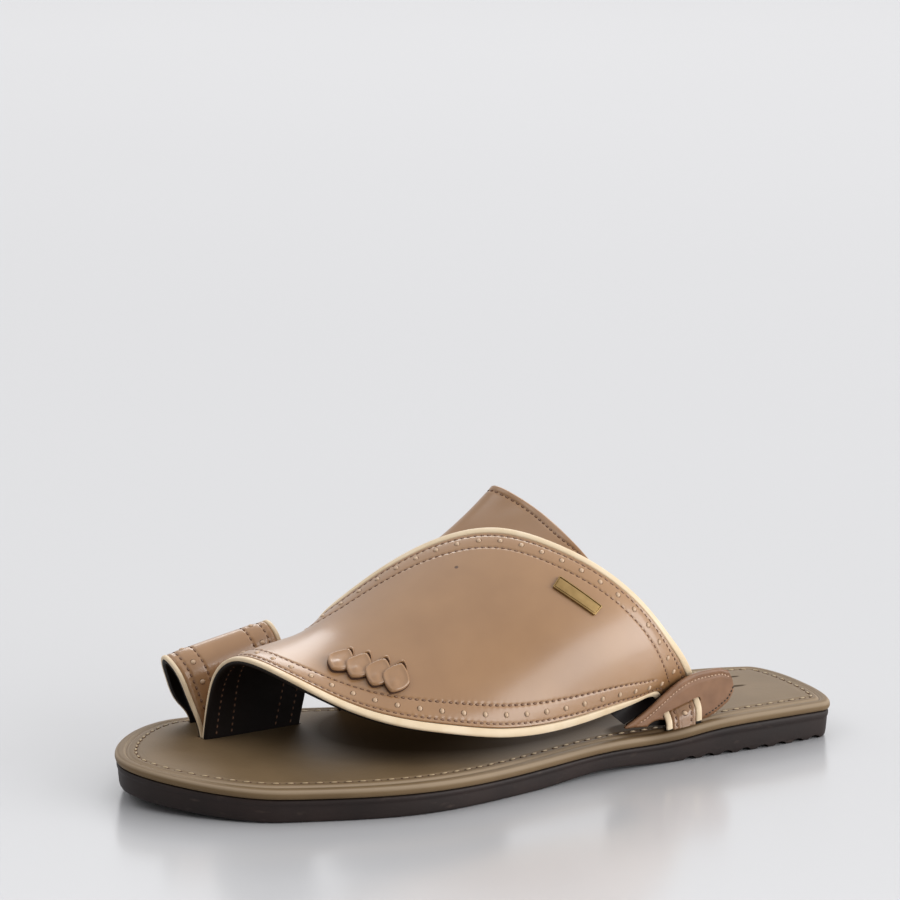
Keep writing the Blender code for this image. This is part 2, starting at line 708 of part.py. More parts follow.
def build_outsole():
    loops = []
    for row in OUTSOLE_SIDE:
        flat = sole_loop(row.inset)
        low = tread_height(flat[:, 0])
        high = seam_height(flat[:, 0])
        loops.append(np.column_stack([flat, low + row.height * (high - low)]))
    made = add_object("outsole", stacked_loops(loops), "brown_rubber")
    combine(made, add_object("notches", lug_notches()), "DIFFERENCE")
    clean(made)
    shade(made, 35.0)
    return made


def build_footbed(slits):
    loops = []
    for row in FOOTBED_PROFILE:
        flat = sole_loop(row.inset)
        loops.append(np.column_stack([flat, seam_height(flat[:, 0]) + row.rise]))
    made = add_object("footbed", stacked_loops(loops), "olive_leather")
    for path, width in slits:
        cutter = add_object("slit", prism(path, width + 2.0 * FIT_GAP, SLIT_LOW, SLIT_HIGH))
        combine(made, cutter, "DIFFERENCE")
    clean(made)
    shade(made, 50.0)
    return made


def build_upper(ring, vamp):
    made = add_object("upper", rimmed_shell(vamp, VAMP_STEPS, VAMP_COLUMNS), "taupe_leather")
    combine(made, add_object("ring", rimmed_shell(ring, RING_STEPS, RING_COLUMNS)), "UNION")
    combine(made, add_object("strap", strap_shell(vamp)), "UNION")
    clean(made)
    shade(made, 40.0)
    return made


def build_keeper():
    made = add_object("keeper", keeper_shell(), "taupe_leather")
    front, axis, across, length = keeper_frame()
    middle = (KEEPER_SLIT_FROM + KEEPER_SLIT_TO) / 2.0
    half = (KEEPER_SLIT_TO - KEEPER_SLIT_FROM) / 2.0 * length
    centre = front + middle * length * axis
    halves = (half, KEEPER_SLIT_HALF, KEEPER_SLIT_REACH)
    cutter = box(centre, (axis, across, np.cross(axis, across)), halves)
    combine(made, add_object("window", cutter), "DIFFERENCE")
    clean(made)
    shade(made, 40.0)
    return made


def slit_paths(ring, vamp):
    """Where the straps go down through the footbed: path of each slit and thickness of what it takes."""
    share = np.linspace(0.0, 1.0, SLIT_CORNERS)

    def middle(strip, row):
        point, _, _, normal = strip.frame(np.full(SLIT_CORNERS, strip.row(row)), share)
        return point - normal * strip.walls[row] / 2.0

    ring_down = len(RING_SECTIONS) - 2
    tail_down = len(VAMP_SECTIONS) - 2
    fold_sides = middle(ring, ring_down), middle(vamp, 1)
    fold_width = np.linalg.norm(fold_sides[0] - fold_sides[1], axis=1).mean() + vamp.walls[1]
    return (
        (middle(ring, 1), ring.walls[1]),
        ((fold_sides[0] + fold_sides[1]) / 2.0, fold_width),
        (middle(vamp, tail_down), vamp.walls[tail_down]),
        (middle(Strip(STRAP_SECTIONS), 1), STRAP_WALL),
    )


def main():
    for old in list(bpy.data.objects):
        bpy.data.objects.remove(old)
    ring = Strip(RING_SECTIONS)
    vamp = Strip(VAMP_SECTIONS)
    pieces = [
        build_outsole(),
        build_footbed(slit_paths(ring, vamp)),
        build_upper(ring, vamp),
        build_keeper(),
    ]
    trims = (
        ("ring_front_piping", ring, RING_STEPS, RING_PIPING, False),
        ("ring_back_piping", ring, RING_STEPS, RING_PIPING, True),
        ("vamp_front_piping", vamp, VAMP_STEPS, VAMP_PIPING, False),
        ("vamp_back_piping", vamp, VAMP_STEPS, VAMP_PIPING, True),
    )
    for name, strip, steps, ends, from_back in trims:
        made = add_object(name, piping(strip, steps, ends.first, ends.last, from_back), "cream_leather")
        shade(made, 60.0)
        pieces.append(made)
    for number, row in enumerate(PETALS, 1):
        made = add_object(f"petal_{number}", petal_solid(vamp, row), "taupe_leather")
        shade(made, 40.0)
        pieces.append(made)
    pieces.append(add_object("plate", plate_solid(vamp), "aged_brass"))
    loop = sole_loop(0.0)
    middle = (loop.max(0) + loop.min(0)) / 2.0
    shoe = bpy.data.objects.new("shoe", None)
    bpy.context.scene.collection.objects.link(shoe)
    shoe.location = (-middle[0] * MM, -middle[1] * MM, 0.0)
    for made in pieces:
        made.parent = shoe


main()
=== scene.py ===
# %% [markdown]
# # A leather toe-loop slide
#
# The real shoe is an open left slide: a moulded rubber sole, a padded footbed, and an upper of three
# straps that go down through slits in the footbed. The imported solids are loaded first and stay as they
# are. Each of them is then dressed by a finer piece, made from the same measures of the last.

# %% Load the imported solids
import math
from collections import namedtuple

import bmesh
import bpy
import numpy as np
from mathutils import Matrix, Vector


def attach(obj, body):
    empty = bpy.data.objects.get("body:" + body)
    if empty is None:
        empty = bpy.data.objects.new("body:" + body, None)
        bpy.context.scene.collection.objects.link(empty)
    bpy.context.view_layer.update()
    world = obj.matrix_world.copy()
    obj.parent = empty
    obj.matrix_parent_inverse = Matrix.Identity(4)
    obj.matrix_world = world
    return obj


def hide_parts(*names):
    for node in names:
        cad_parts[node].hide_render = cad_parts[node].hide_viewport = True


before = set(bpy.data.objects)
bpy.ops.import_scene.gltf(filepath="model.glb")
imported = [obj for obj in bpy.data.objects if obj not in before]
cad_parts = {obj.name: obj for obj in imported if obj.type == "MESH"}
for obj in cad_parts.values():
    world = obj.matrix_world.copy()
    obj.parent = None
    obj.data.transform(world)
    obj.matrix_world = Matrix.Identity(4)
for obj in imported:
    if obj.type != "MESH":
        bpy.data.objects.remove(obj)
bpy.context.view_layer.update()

print("packed nodes:", ", ".join(sorted(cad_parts)))

# %% [markdown]
# ## Measures of the last
#
# A shoe is made round a last, so every piece takes its size from the last's length, ball width, instep
# height and heel height. Work is in millimetres from the heel, and only the finished mesh is moved into
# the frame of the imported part, in metres. Outlines and straps are smooth curves through a few table
# rows, so one function for a natural cubic curve serves them all.

# %% Measures
LAST_LENGTH = 285.0
BALL_WIDTH = 111.0
INSTEP_HEIGHT = 97.5
HEEL_HEIGHT = 11.0
FRAME_SHIFT = np.array([-142.5, 4.7026, 0.0])
MM = 0.001


def last_point(share):
    """Percent of length, ball width and instep height as a point on the last."""
    return np.array(share) * (LAST_LENGTH, BALL_WIDTH, INSTEP_HEIGHT) / 100.0


def table(columns, *rows):
    """Rows of values whose columns have names."""
    kind = namedtuple("Row", columns)
    return [kind(*row) for row in rows]


def in_frame(points):
    """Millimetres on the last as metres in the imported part's frame."""
    return (np.asarray(points, float) + FRAME_SHIFT) * MM


print("last:", LAST_LENGTH, "x", BALL_WIDTH, "x", INSTEP_HEIGHT, "mm")


# %% Smooth curves
def spline(knots, values):
    """A natural cubic curve through the values, one column for each coordinate."""
    knots = np.asarray(knots, float)
    values = np.asarray(values, float).reshape(len(knots), -1)
    step = np.diff(knots)
    slope = np.diff(values, axis=0) / step[:, None]
    system = np.eye(len(knots))
    right = np.zeros_like(values)
    for i in range(1, len(knots) - 1):
        system[i, i - 1] = step[i - 1]
        system[i, i] = 2.0 * (step[i - 1] + step[i])
        system[i, i + 1] = step[i]
        right[i] = 6.0 * (slope[i] - slope[i - 1])
    bend = np.linalg.solve(system, right)

    def at(place):
        place = np.atleast_1d(np.asarray(place, float))
        i = np.clip(np.searchsorted(knots, place) - 1, 0, len(knots) - 2)
        width = step[i][:, None]
        before = (knots[i + 1] - place)[:, None] / width
        after = (place - knots[i])[:, None] / width
        curve = (before**3 - before) * bend[i] + (after**3 - after) * bend[i + 1]
        return before * values[i] + after * values[i + 1] + curve * width**2 / 6.0

    return at


def run_length(points):
    """Distance travelled along a path at each of its points."""
    return np.concatenate([[0.0], np.cumsum(np.linalg.norm(np.diff(points, axis=0), axis=1))])


print("a curve through 0, 1, 0 at its middle:", spline([0, 1, 2], [0, 1, 0])(1.0)[0, 0])

# %% [markdown]
# ## Meshes
#
# Nearly every piece of a shoe is either a section swept along a path, such as a strap, or a stack of
# outlines, such as a sole. Two small functions make those meshes. Others turn a mesh into an object, cut
# one object out of another, and make an object a piece of the shoe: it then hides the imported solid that
# it stands for and names the finish it takes.

# %% Solids from sections and outlines
# A crown is full where its loop is at least this wide, in mm.
CROWN_WIDTH = 40.0


def sweep(sections):
    """A closed solid through sections of one size, with both ends capped."""
    rows, size = sections.shape[:2]
    faces = []
    for row in range(rows - 1):
        for i in range(size):
            j = (i + 1) % size
            low = row * size
            faces.append((low + i, low + j, low + size + j, low + size + i))
    faces.append(tuple(reversed(range(size))))
    faces.append(tuple((rows - 1) * size + i for i in range(size)))
    return sections.reshape(-1, 3), faces


def rungs(loop, columns, crown):
    """A surface across a closed loop: rungs from its outer side to its inner side, raised by the crown."""
    half = len(loop) // 2
    share = np.linspace(0.0, 1.0, columns + 1)[None, :, None]
    outer = loop[: half + 1][:, None, :]
    inner = np.vstack([loop[half:], loop[:1]])[::-1][:, None, :]
    points = outer + (inner - outer) * share
    full = np.minimum(1.0, np.linalg.norm(inner - outer, axis=2) / CROWN_WIDTH)
    points[:, :, 2] += crown * (1.0 - (2.0 * share[:, :, 0] - 1.0) ** 4) * full
    across = columns + 1
    faces = []
    for row in range(half):
        for low in range(row * across, row * across + columns):
            faces.append((low, low + 1, low + across + 1, low + across))
    return points.reshape(-1, 3), faces


def together(parts):
    """Several sets of points and faces as one."""
    points = np.vstack([p for p, _ in parts])
    starts = np.cumsum([0] + [len(p) for p, _ in parts])
    faces = [tuple(start + k for k in face) for start, (_, own) in zip(starts, parts) for face in own]
    return points, faces


def stack(loops, columns, crown):
    """A solid through loops of one size, flat below and closed above by a crown."""
    points, faces = sweep(np.array(loops))
    caps = [rungs(loops[0], columns, 0.0), rungs(loops[-1], columns, crown)]
    return together([(points, faces[:-2]), *caps])


print("a swept square has", len(sweep(np.zeros((2, 4, 3)))[1]), "faces")

# %% Objects and pieces
# Points closer than this, in metres, are one point.
MERGE = 2e-6


def new_object(name, solid):
    """An object from points on the last and faces, with doubled points merged and normals facing out."""
    points, faces = solid
    mesh = bpy.data.meshes.new(name)
    mesh.from_pydata(in_frame(points).tolist(), [], faces)
    shape = bmesh.new()
    shape.from_mesh(mesh)
    bmesh.ops.remove_doubles(shape, verts=shape.verts, dist=MERGE)
    bmesh.ops.dissolve_degenerate(shape, edges=shape.edges, dist=MERGE)
    bmesh.ops.recalc_face_normals(shape, faces=shape.faces)
    shape.to_mesh(mesh)
    shape.free()
    made = bpy.data.objects.new(name, mesh)
    bpy.context.scene.collection.objects.link(made)
    return made


def plain_mesh(made):
    """Turn the modifiers' result into the object's own mesh."""
    bpy.context.view_layer.update()
    graph = bpy.context.evaluated_depsgraph_get()
    made.data = bpy.data.meshes.new_from_object(made.evaluated_get(graph))
    made.modifiers.clear()


def cut(made, tool):
    """Cut a tool out of an object and drop the tool."""
    modifier = made.modifiers.new("cut", "BOOLEAN")
    modifier.object = tool
    modifier.operation = "DIFFERENCE"
    modifier.solver = "EXACT"
    plain_mesh(made)
    bpy.data.objects.remove(tool)


def dress(made, material, node, sharp=40.0):
    """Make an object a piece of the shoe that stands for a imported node."""
    made.data.materials.clear()
    made.data.materials.append(material)
    made.data.shade_smooth()
    made.data.set_sharp_from_angle(angle=math.radians(sharp))
    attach(made, "root")
    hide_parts(node)
    print(made.name, "stands for", node, "with", len(made.data.polygons), "faces")


print("points closer than", MERGE * 1e6, "micrometres are merged")

# %% [markdown]
# ## Materials
#
# Colours are sRGB hex values turned to linear light, which is what a shader reckons in. Patterns read
# object coordinates, and their scale comes from a size in millimetres. One function adds any node. Three
# more do what the finishes share: colour that drifts between two tones, as on any dyed hide, relief from
# a texture, and a darker colour at some place.

# %% Nodes and colours
def linear(hex_colour):
    """An sRGB hex value as linear light."""
    channels = [int(hex_colour[i : i + 2], 16) / 255.0 for i in (1, 3, 5)]
    return (*[c / 12.92 if c <= 0.04045 else ((c + 0.055) / 1.055) ** 2.4 for c in channels], 1.0)


def per_metre(millimetres):
    """Texture scale of a pattern that repeats after so many millimetres."""
    return 1000.0 / millimetres


def add_node(tree, kind, settings=None, inputs=None):
    """One node with its settings, and its inputs set to values or linked to other nodes."""
    node = tree.nodes.new(kind)
    for name, value in (settings or {}).items():
        setattr(node, name, value)
    for socket, value in (inputs or {}).items():
        if isinstance(value, bpy.types.NodeSocket):
            tree.links.new(value, node.inputs[socket])
        else:
            node.inputs[socket].default_value = value
    return node


def set_stops(ramp, stops):
    """Give a colour ramp its stops, each a position and a colour in linear light."""
    elements = ramp.color_ramp.elements
    for k in range(1, len(stops) - 1):
        elements.new(k / (len(stops) - 1))
    for stop, (position, colour) in zip(elements, stops):
        stop.position = position
        stop.color = colour
    return ramp.outputs["Color"]


print("taupe in linear light:", [round(v, 3) for v in linear("#A17A54")])


# %% Dyed colour and relief
def dyed(name, size, detail, tones, **sockets):
    """A material whose colour drifts between two tones over patches of a size in millimetres."""
    made = bpy.data.materials.new(name)
    made.use_nodes = True
    tree = made.node_tree
    shader = tree.nodes["Principled BSDF"]
    for socket, value in sockets.items():
        shader.inputs[socket.replace("_", " ")].default_value = value
    place = add_node(tree, "ShaderNodeTexCoord", {"name": "place"}).outputs["Object"]
    drift = {"Vector": place, "Scale": per_metre(size), "Detail": detail}
    drift = add_node(tree, "ShaderNodeTexNoise", {"name": "drift"}, drift).outputs["Fac"]
    ramp = add_node(tree, "ShaderNodeValToRGB", inputs={"Fac": drift})
    colour = set_stops(ramp, [(position, linear(tone)) for position, tone in tones])
    tree.links.new(colour, shader.inputs["Base Color"])
    return made


def inside(made):
    """What later steps add to in a material: its tree, shader, places on the shoe and colour so far."""
    tree = made.node_tree
    shader = tree.nodes["Principled BSDF"]
    colour = shader.inputs["Base Color"].links[0].from_socket
    return tree, shader, tree.nodes["place"].outputs["Object"], colour


def relief(made, kind, size, strength, depth, settings=None, **inputs):
    """Bumps from a texture of a size in millimetres, over any bumps that the material has."""
    tree, shader, place, _ = inside(made)
    texture = add_node(tree, kind, settings, {"Vector": place, "Scale": per_metre(size), **inputs})
    bump = {"Strength": strength, "Distance": depth, "Height": texture.outputs[0]}
    bump = add_node(tree, "ShaderNodeBump", inputs=bump)
    for link in shader.inputs["Normal"].links:
        tree.links.new(link.from_socket, bump.inputs["Normal"])
    tree.links.new(bump.outputs["Normal"], shader.inputs["Normal"])


print("a pattern of 0.7 mm has scale", round(per_metre(0.7)))

# %% Dark patches
Patch = namedtuple("Patch", "place reach")


def round_patch(made, patch):
    """One at a place on the shoe and nought at a distance from it along each axis, in metres."""
    tree, _, place, _ = inside(made)
    nearby = {
        "Vector": place,
        "Location": [-c / r for c, r in zip(*patch)],
        "Scale": [1.0 / r for r in patch.reach],
    }
    ball = {"Vector": add_node(tree, "ShaderNodeMapping", inputs=nearby).outputs["Vector"]}
    return add_node(tree, "ShaderNodeTexGradient", {"gradient_type": "SPHERICAL"}, ball).outputs["Fac"]


def darken(made, amount, full, level):
    """Multiply a material's colour by a darker level where an amount is full."""
    tree, shader, _, colour = inside(made)
    ramp = add_node(tree, "ShaderNodeValToRGB", inputs={"Fac": amount})
    shade = set_stops(ramp, ((0.0, (1.0, 1.0, 1.0, 1.0)), (full, (*level, 1.0))))
    multiply = {"data_type": "RGBA", "blend_type": "MULTIPLY"}
    mixed = add_node(tree, "ShaderNodeMix", multiply, {"Factor": 1.0, "A": colour, "B": shade})
    tree.links.new(mixed.outputs["Result"], shader.inputs["Base Color"])


print("a patch is given by", " and ".join(Patch._fields), "in metres")

# %% [markdown]
# ## Calf
#
# The straps are smooth calf with a plated, polished finish, so they show broad soft highlights and
# almost no grain. A principled shader with a thin coat gives that: the coat carries the sharper shine
# and the leather below it stays soft. Painted shade darkens the calf beside the keeper, where the bands
# bend in away from the light, and a fleck of dirt sits on the vamp. The keeper is a darker copy of the
# same calf, painted shade for its face that turns from the light.

# %% Polished taupe calf
# Smooth dyed calf, plated and polished: a thin clear finish over soft, slightly uneven colour.
CALF_SHADE_AND_FLECK = (
    # First row: painted shade on the bands beside the keeper, where they bend in away from the light.
    # Second row: a fleck of dirt on the vamp.
    (Patch((-0.071, 0.032, 0.021), (0.020, 0.020, 0.020)), 0.55, (0.7, 0.65, 0.6)),
    (Patch((0.01045, 0.0035, 0.07565), (0.0009, 0.0009, 0.0009)), 0.4, (0.26, 0.18, 0.12)),
)
coat = {"Coat_Weight": 0.5, "Coat_Roughness": 0.22, "Coat_IOR": 1.5}
tones = ((0.3, "#96704C"), (0.7, "#A17A54"))
taupe = dyed("polished_taupe_calf", 24.0, 3.0, tones, Roughness=0.36, IOR=1.5, **coat)
for patch, full, level in CALF_SHADE_AND_FLECK:
    darken(taupe, round_patch(taupe, patch), full, level)
# Calf pores are about 0.2 mm apart. They are drawn at 0.7 mm, because finer ones don't show.
relief(taupe, "ShaderNodeTexVoronoi", 0.7, 0.10, 0.00006)
relief(taupe, "ShaderNodeTexNoise", 16.0, 0.25, 0.0004, Detail=2.0)
print("made", taupe.name, "with", len(CALF_SHADE_AND_FLECK), "marks")

# %% Darker calf of the keeper, painted shade
# The same calf in a darker copy, painted shade for a face turned from the light, with a tighter shine.
coat = {"Coat_Weight": 0.15, "Coat_Roughness": 0.25}
tones = ((0.3, "#785439"), (0.7, "#8C6649"))
shaded_keeper_calf = dyed("burnished_taupe_calf", 7.0, 3.0, tones, Roughness=0.42, IOR=1.4, **coat)
print("made", shaded_keeper_calf.name)

# %% [markdown]
# ## Footbed leather
#
# The footbed's cover is a softer, matt leather. A painted sheen makes it paler where it bends, on the
# roll and the ridge, partly also the pale pull-up of leather pulled tight, and bends are found from how
# far the surface leans. Painted shade darkens it under the vamp, with less sheen there, and where the
# keeper stands, and two short strokes of painted shade mark creases at the heel. All four are patches at
# a place, and the strongest counts.

# %% Matt olive footbed leather
# Soft drummed leather over foam: fine pebbles and a low, wide sheen where the light grazes it.
# Painted sheen, partly pull-up: paler colour where the surface leans, on the roll and the ridge.
SHEEN_AND_PULL_STOPS = ((0.1, 0.0), (0.5, 0.55), (0.8, 0.75), (0.97, 0.0))
# Painted shade: under the vamp, where the keeper stands, and two short strokes for creases at the heel.
SHADE_PATCHES = (
    Patch((0.0, -0.008, 0.013), (0.086, 0.055, 0.050)),
    Patch((-0.0575, 0.0310, 0.013), (0.024, 0.010, 0.020)),
    Patch((-0.1108, 0.0055, 0.016), (0.0054, 0.0014, 0.006)),
    Patch((-0.1172, -0.0070, 0.016), (0.0032, 0.0012, 0.006)),
)
SHADE_FULL, SHADE_LEVEL = 0.32, (0.33, 0.29, 0.25)
SHEEN, SHEEN_IN_SHADE = 0.34, 0.03
tones = ((0.3, "#68543A"), (0.72, "#766146"))
olive = dyed("drummed_olive_leather", 30.0, 4.0, tones, Roughness=0.56, Specular_Tint=linear("#FFF2E2"))
tree, shader, place, colour = inside(olive)
surface = add_node(tree, "ShaderNodeNewGeometry")
lean = add_node(tree, "ShaderNodeSeparateXYZ", inputs={"Vector": surface.outputs["Normal"]})
sheen_and_pull = add_node(tree, "ShaderNodeValToRGB", inputs={"Fac": lean.outputs["Z"]})
sheen_and_pull = set_stops(sheen_and_pull, [(position, (level, level, level, 1.0)) for position, level in SHEEN_AND_PULL_STOPS])
pale = {"Factor": sheen_and_pull, "A": colour, "B": linear("#9C8A74")}
pale = add_node(tree, "ShaderNodeMix", {"data_type": "RGBA"}, pale)
tree.links.new(pale.outputs["Result"], shader.inputs["Base Color"])
painted_shade = round_patch(olive, SHADE_PATCHES[0])
for patch in SHADE_PATCHES[1:]:
    both = {0: painted_shade, 1: round_patch(olive, patch)}
    painted_shade = add_node(tree, "ShaderNodeMath", {"operation": "MAXIMUM"}, both).outputs["Value"]
darken(olive, painted_shade, SHADE_FULL, SHADE_LEVEL)
# Less sheen where the shade is painted.
sheen = {"Value": painted_shade, "From Min": 0.0, "From Max": SHADE_FULL, "To Min": SHEEN, "To Max": SHEEN_IN_SHADE}
sheen = add_node(tree, "ShaderNodeMapRange", inputs=sheen)
tree.links.new(sheen.outputs["Result"], shader.inputs["Specular IOR Level"])
# Drummed pebbles are near 0.6 mm across, and are drawn at 1.0 mm to show at all.
smooth_cells = {"feature": "SMOOTH_F1"}
relief(olive, "ShaderNodeTexVoronoi", 1.0, 0.22, 0.00012, smooth_cells, Smoothness=0.6)
print("made", olive.name, "with", len(SHADE_PATCHES), "worn patches")

# %% [markdown]
# ## Piping, lining, rubber and brass
#
# The piping is thin smooth cream leather, and the lining is dark kid whose small wrinkles catch a dull
# light. The sole is moulded rubber with a stipple from its mould and a few scuffs, and the plate is
# rolled brass, brighter and smoother where it has been rubbed. Each is a drifting colour with a relief
# or shine of its own, so that no surface is one flat tone.

# %% Cream piping leather and dark kid lining
# Thin smooth leather in its pale natural colour, a little darker in patches from handling.
tones = ((0.25, "#D6BE9A"), (0.65, "#E1CCAD"))
cream = dyed("smooth_cream_leather", 9.0, 3.0, tones, Roughness=0.48, IOR=1.47)
relief(cream, "ShaderNodeTexNoise", 1.2, 0.2, 0.0001, Detail=4.0)
# Thin glazed kid: nearly black, with small wrinkles that catch a dull light.
tones = ((0.0, "#0C0706"), (1.0, "#1A100C"))
lining = dyed("glazed_dark_lining", 14.0, 3.0, tones, Roughness=0.6, IOR=1.3)
relief(lining, "ShaderNodeTexNoise", 3.0, 0.3, 0.0003, Detail=4.0, Distortion=0.6)
print("made", cream.name, "and", lining.name)

# %% Moulded brown rubber
# Moulded rubber: dark and dull, with a fine stipple from the mould and rubbed patches that look paler.
tones = ((0.3, "#1B110E"), (0.75, "#291C18"))
rubber = dyed("moulded_brown_rubber", 18.0, 5.0, tones, Roughness=0.6, IOR=1.4)
tree, shader, place, colour = inside(rubber)
# Knocks have left a few paler scuffs, longer than they are high.
stretch = add_node(tree, "ShaderNodeMapping", inputs={"Vector": place, "Scale": (0.35, 0.35, 1.0)})
knocks = {"Vector": stretch.outputs["Vector"], "Scale": per_metre(2.6), "Detail": 3.0}
knocks = add_node(tree, "ShaderNodeTexNoise", inputs=knocks)
scuffs = add_node(tree, "ShaderNodeValToRGB", inputs={"Fac": knocks.outputs["Fac"]})
scuffs = set_stops(scuffs, ((0.64, (0.0, 0.0, 0.0, 1.0)), (0.86, (1.0, 1.0, 1.0, 1.0))))
scuffed = {"Factor": scuffs, "A": colour, "B": linear("#43362F")}
scuffed = add_node(tree, "ShaderNodeMix", {"data_type": "RGBA"}, scuffed)
tree.links.new(scuffed.outputs["Result"], shader.inputs["Base Color"])
# The mould's stipple is about 0.3 mm, drawn at 0.8 mm to show.
relief(rubber, "ShaderNodeTexNoise", 0.8, 0.25, 0.0002, Detail=2.0)
print("made", rubber.name)

# %% Aged brass
# Rolled brass with a brushed face, gone dull and darker where it isn't rubbed.
brass = dyed("brushed_aged_brass", 6.0, 2.0, ((0.3, "#8A7047"), (0.7, "#AE9162")), Metallic=1.0)
tree, shader, place, colour = inside(brass)
rubbing = tree.nodes["drift"].outputs["Fac"]
smooth = {"Value": rubbing, "From Min": 0.3, "From Max": 0.7, "To Min": 0.5, "To Max": 0.3}
smooth = add_node(tree, "ShaderNodeMapRange", inputs=smooth)
tree.links.new(smooth.outputs["Result"], shader.inputs["Roughness"])
print("made", brass.name)

# %% [markdown]
# ## Threads and needle holes
#
# The seams are twisted waxed thread, each lying in a dark slot of painted shade where its needle went,
# and under each punched hole lies a pale backing leather. These are specks in the picture, so a
# drifting colour and a roughness are all they need, and one table makes them.

# %% Waxed threads, needle holes and punched backing
# Waxed thread is dull with a soft gleam, needle holes are quite matt, and backing is a little shiny.
SMALL_FINISHES = table(
    "name roughness size dark pale",
    ("waxed_brown_thread", 0.55, 1.5, "#70503A", "#8E6C53"),
    ("waxed_pale_thread", 0.5, 1.5, "#B08D72", "#CFAF95"),
    ("waxed_dark_thread", 0.6, 1.5, "#241B11", "#3C2E1F"),
    ("waxed_olive_thread", 0.5, 1.5, "#94805F", "#B09A78"),
    ("needle_hole_shadow", 0.9, 4.0, "#442B1D", "#5A3D2B"),
    ("pale_punch_backing", 0.4, 5.0, "#B39375", "#CBAF91"),
)
thread, pale_thread, dark_thread, olive_thread, needle, backing = [
    dyed(row.name, row.size, 2.0, ((0.0, row.dark), (1.0, row.pale)), Roughness=row.roughness)
    for row in SMALL_FINISHES
]
print("made", ", ".join(row.name for row in SMALL_FINISHES))

# %% [markdown]
# ## What repeats along a path
#
# Stitches, needle holes, punched holes and sole notches all repeat at a set distance along a path on a
# surface. They could be copied one by one, but one node tree does them all: it takes a path whose points
# know which way the surface faces, spaces points along it, and sets a small shape on each, turned to the
# path and the surface. The result is made a plain mesh at once.

# %% A node tree that sets a shape along a path
along_path = bpy.data.node_groups.new("set_along_path", "GeometryNodeTree")
sockets = {}
for name, kind in (
    ("Path", "NodeSocketGeometry"),
    ("Pitch", "NodeSocketFloat"),
    ("Shape", "NodeSocketObject"),
    ("Size", "NodeSocketVector"),
    ("Shift", "NodeSocketVector"),
    ("Finish", "NodeSocketMaterial"),
):
    sockets[name] = along_path.interface.new_socket(name, in_out="INPUT", socket_type=kind).identifier
along_path.interface.new_socket("Pieces", in_out="OUTPUT", socket_type="NodeSocketGeometry")
given = add_node(along_path, "NodeGroupInput").outputs
curve = add_node(along_path, "GeometryNodeMeshToCurve", inputs={"Mesh": given["Path"]})
spaced = add_node(
    along_path,
    "GeometryNodeResampleCurve",
    settings={"mode": "LENGTH"},
    inputs={"Curve": curve.outputs["Curve"], "Length": given["Pitch"]},
)
facing = add_node(
    along_path,
    "GeometryNodeInputNamedAttribute",
    settings={"data_type": "FLOAT_VECTOR"},
    inputs={"Name": "facing"},
)
tangent = add_node(along_path, "GeometryNodeInputTangent")
turn = add_node(
    along_path,
    "FunctionNodeAxesToRotation",
    settings={"primary_axis": "Z", "secondary_axis": "X"},
    inputs={0: facing.outputs["Attribute"], 1: tangent.outputs["Tangent"]},
)
shape_info = add_node(along_path, "GeometryNodeObjectInfo", inputs={"Object": given["Shape"]})
placed = add_node(
    along_path,
    "GeometryNodeInstanceOnPoints",
    inputs={
        "Points": spaced.outputs["Curve"],
        "Instance": shape_info.outputs["Geometry"],
        "Rotation": turn.outputs["Rotation"],
        "Scale": given["Size"],
    },
)
moved = add_node(
    along_path,
    "GeometryNodeTranslateInstances",
    inputs={"Instances": placed.outputs["Instances"], "Translation": given["Shift"], "Local Space": True},
)
real = add_node(along_path, "GeometryNodeRealizeInstances", inputs={"Geometry": moved.outputs["Instances"]})
finished = add_node(
    along_path,
    "GeometryNodeSetMaterial",
    inputs={"Geometry": real.outputs["Geometry"], "Material": given["Finish"]},
)
add_node(along_path, "NodeGroupOutput", inputs={"Pieces": finished.outputs["Geometry"]})
print("node tree with", len(along_path.nodes), "nodes")


# %% Small shapes
def small_shape(name, operation, **sizes):
    """A small mesh of unit size that is repeated along paths."""
    shape = bmesh.new()
    operation(shape, **sizes)
    mesh = bpy.data.meshes.new(name)
    shape.to_mesh(mesh)
    shape.free()
    made = bpy.data.objects.new(name, mesh)
    made.hide_render = True
    bpy.context.scene.collection.objects.link(made)
    return made


ROD = {"radius1": 0.5, "radius2": 0.5, "depth": 1.0, "cap_ends": True}
LYING = Matrix.Rotation(math.radians(90.0), 4, "X")
bead = small_shape("bead", bmesh.ops.create_uvsphere, u_segments=8, v_segments=5, radius=0.5)
disc = small_shape("disc", bmesh.ops.create_circle, segments=12, radius=0.5, cap_ends=True)
punch = small_shape("punch", bmesh.ops.create_cone, segments=14, **ROD)
roller = small_shape("roller", bmesh.ops.create_cone, segments=20, matrix=LYING, **ROD)
small_shapes = (bead, disc, punch, roller)
print("small shapes:", [len(shape.data.polygons) for shape in small_shapes], "faces")


# %% Setting a shape along paths
def set_along(name, paths, shape, pitch, size, finish, shift=(0.0, 0.0, 0.0)):
    """Set a shape along paths, each a pair of points and facings, with sizes in millimetres."""
    mesh = bpy.data.meshes.new(name)
    edges = []
    start = 0
    for path, _ in paths:
        edges += [(start + i, start + i + 1) for i in range(len(path) - 1)]
        start += len(path)
    mesh.from_pydata(in_frame(np.vstack([points for points, _ in paths])).tolist(), edges, [])
    facings = np.vstack([facing for _, facing in paths])
    attribute = mesh.attributes.new("facing", "FLOAT_VECTOR", "POINT")
    attribute.data.foreach_set("vector", facings.astype(np.float32).ravel())
    made = bpy.data.objects.new(name, mesh)
    bpy.context.scene.collection.objects.link(made)
    modifier = made.modifiers.new("set_along_path", "NODES")
    modifier.node_group = along_path
    modifier[sockets["Pitch"]] = pitch * MM
    modifier[sockets["Shape"]] = shape
    modifier[sockets["Size"]] = [v * MM for v in size]
    modifier[sockets["Shift"]] = [v * MM for v in shift]
    modifier[sockets["Finish"]] = finish
    plain_mesh(made)
    return made


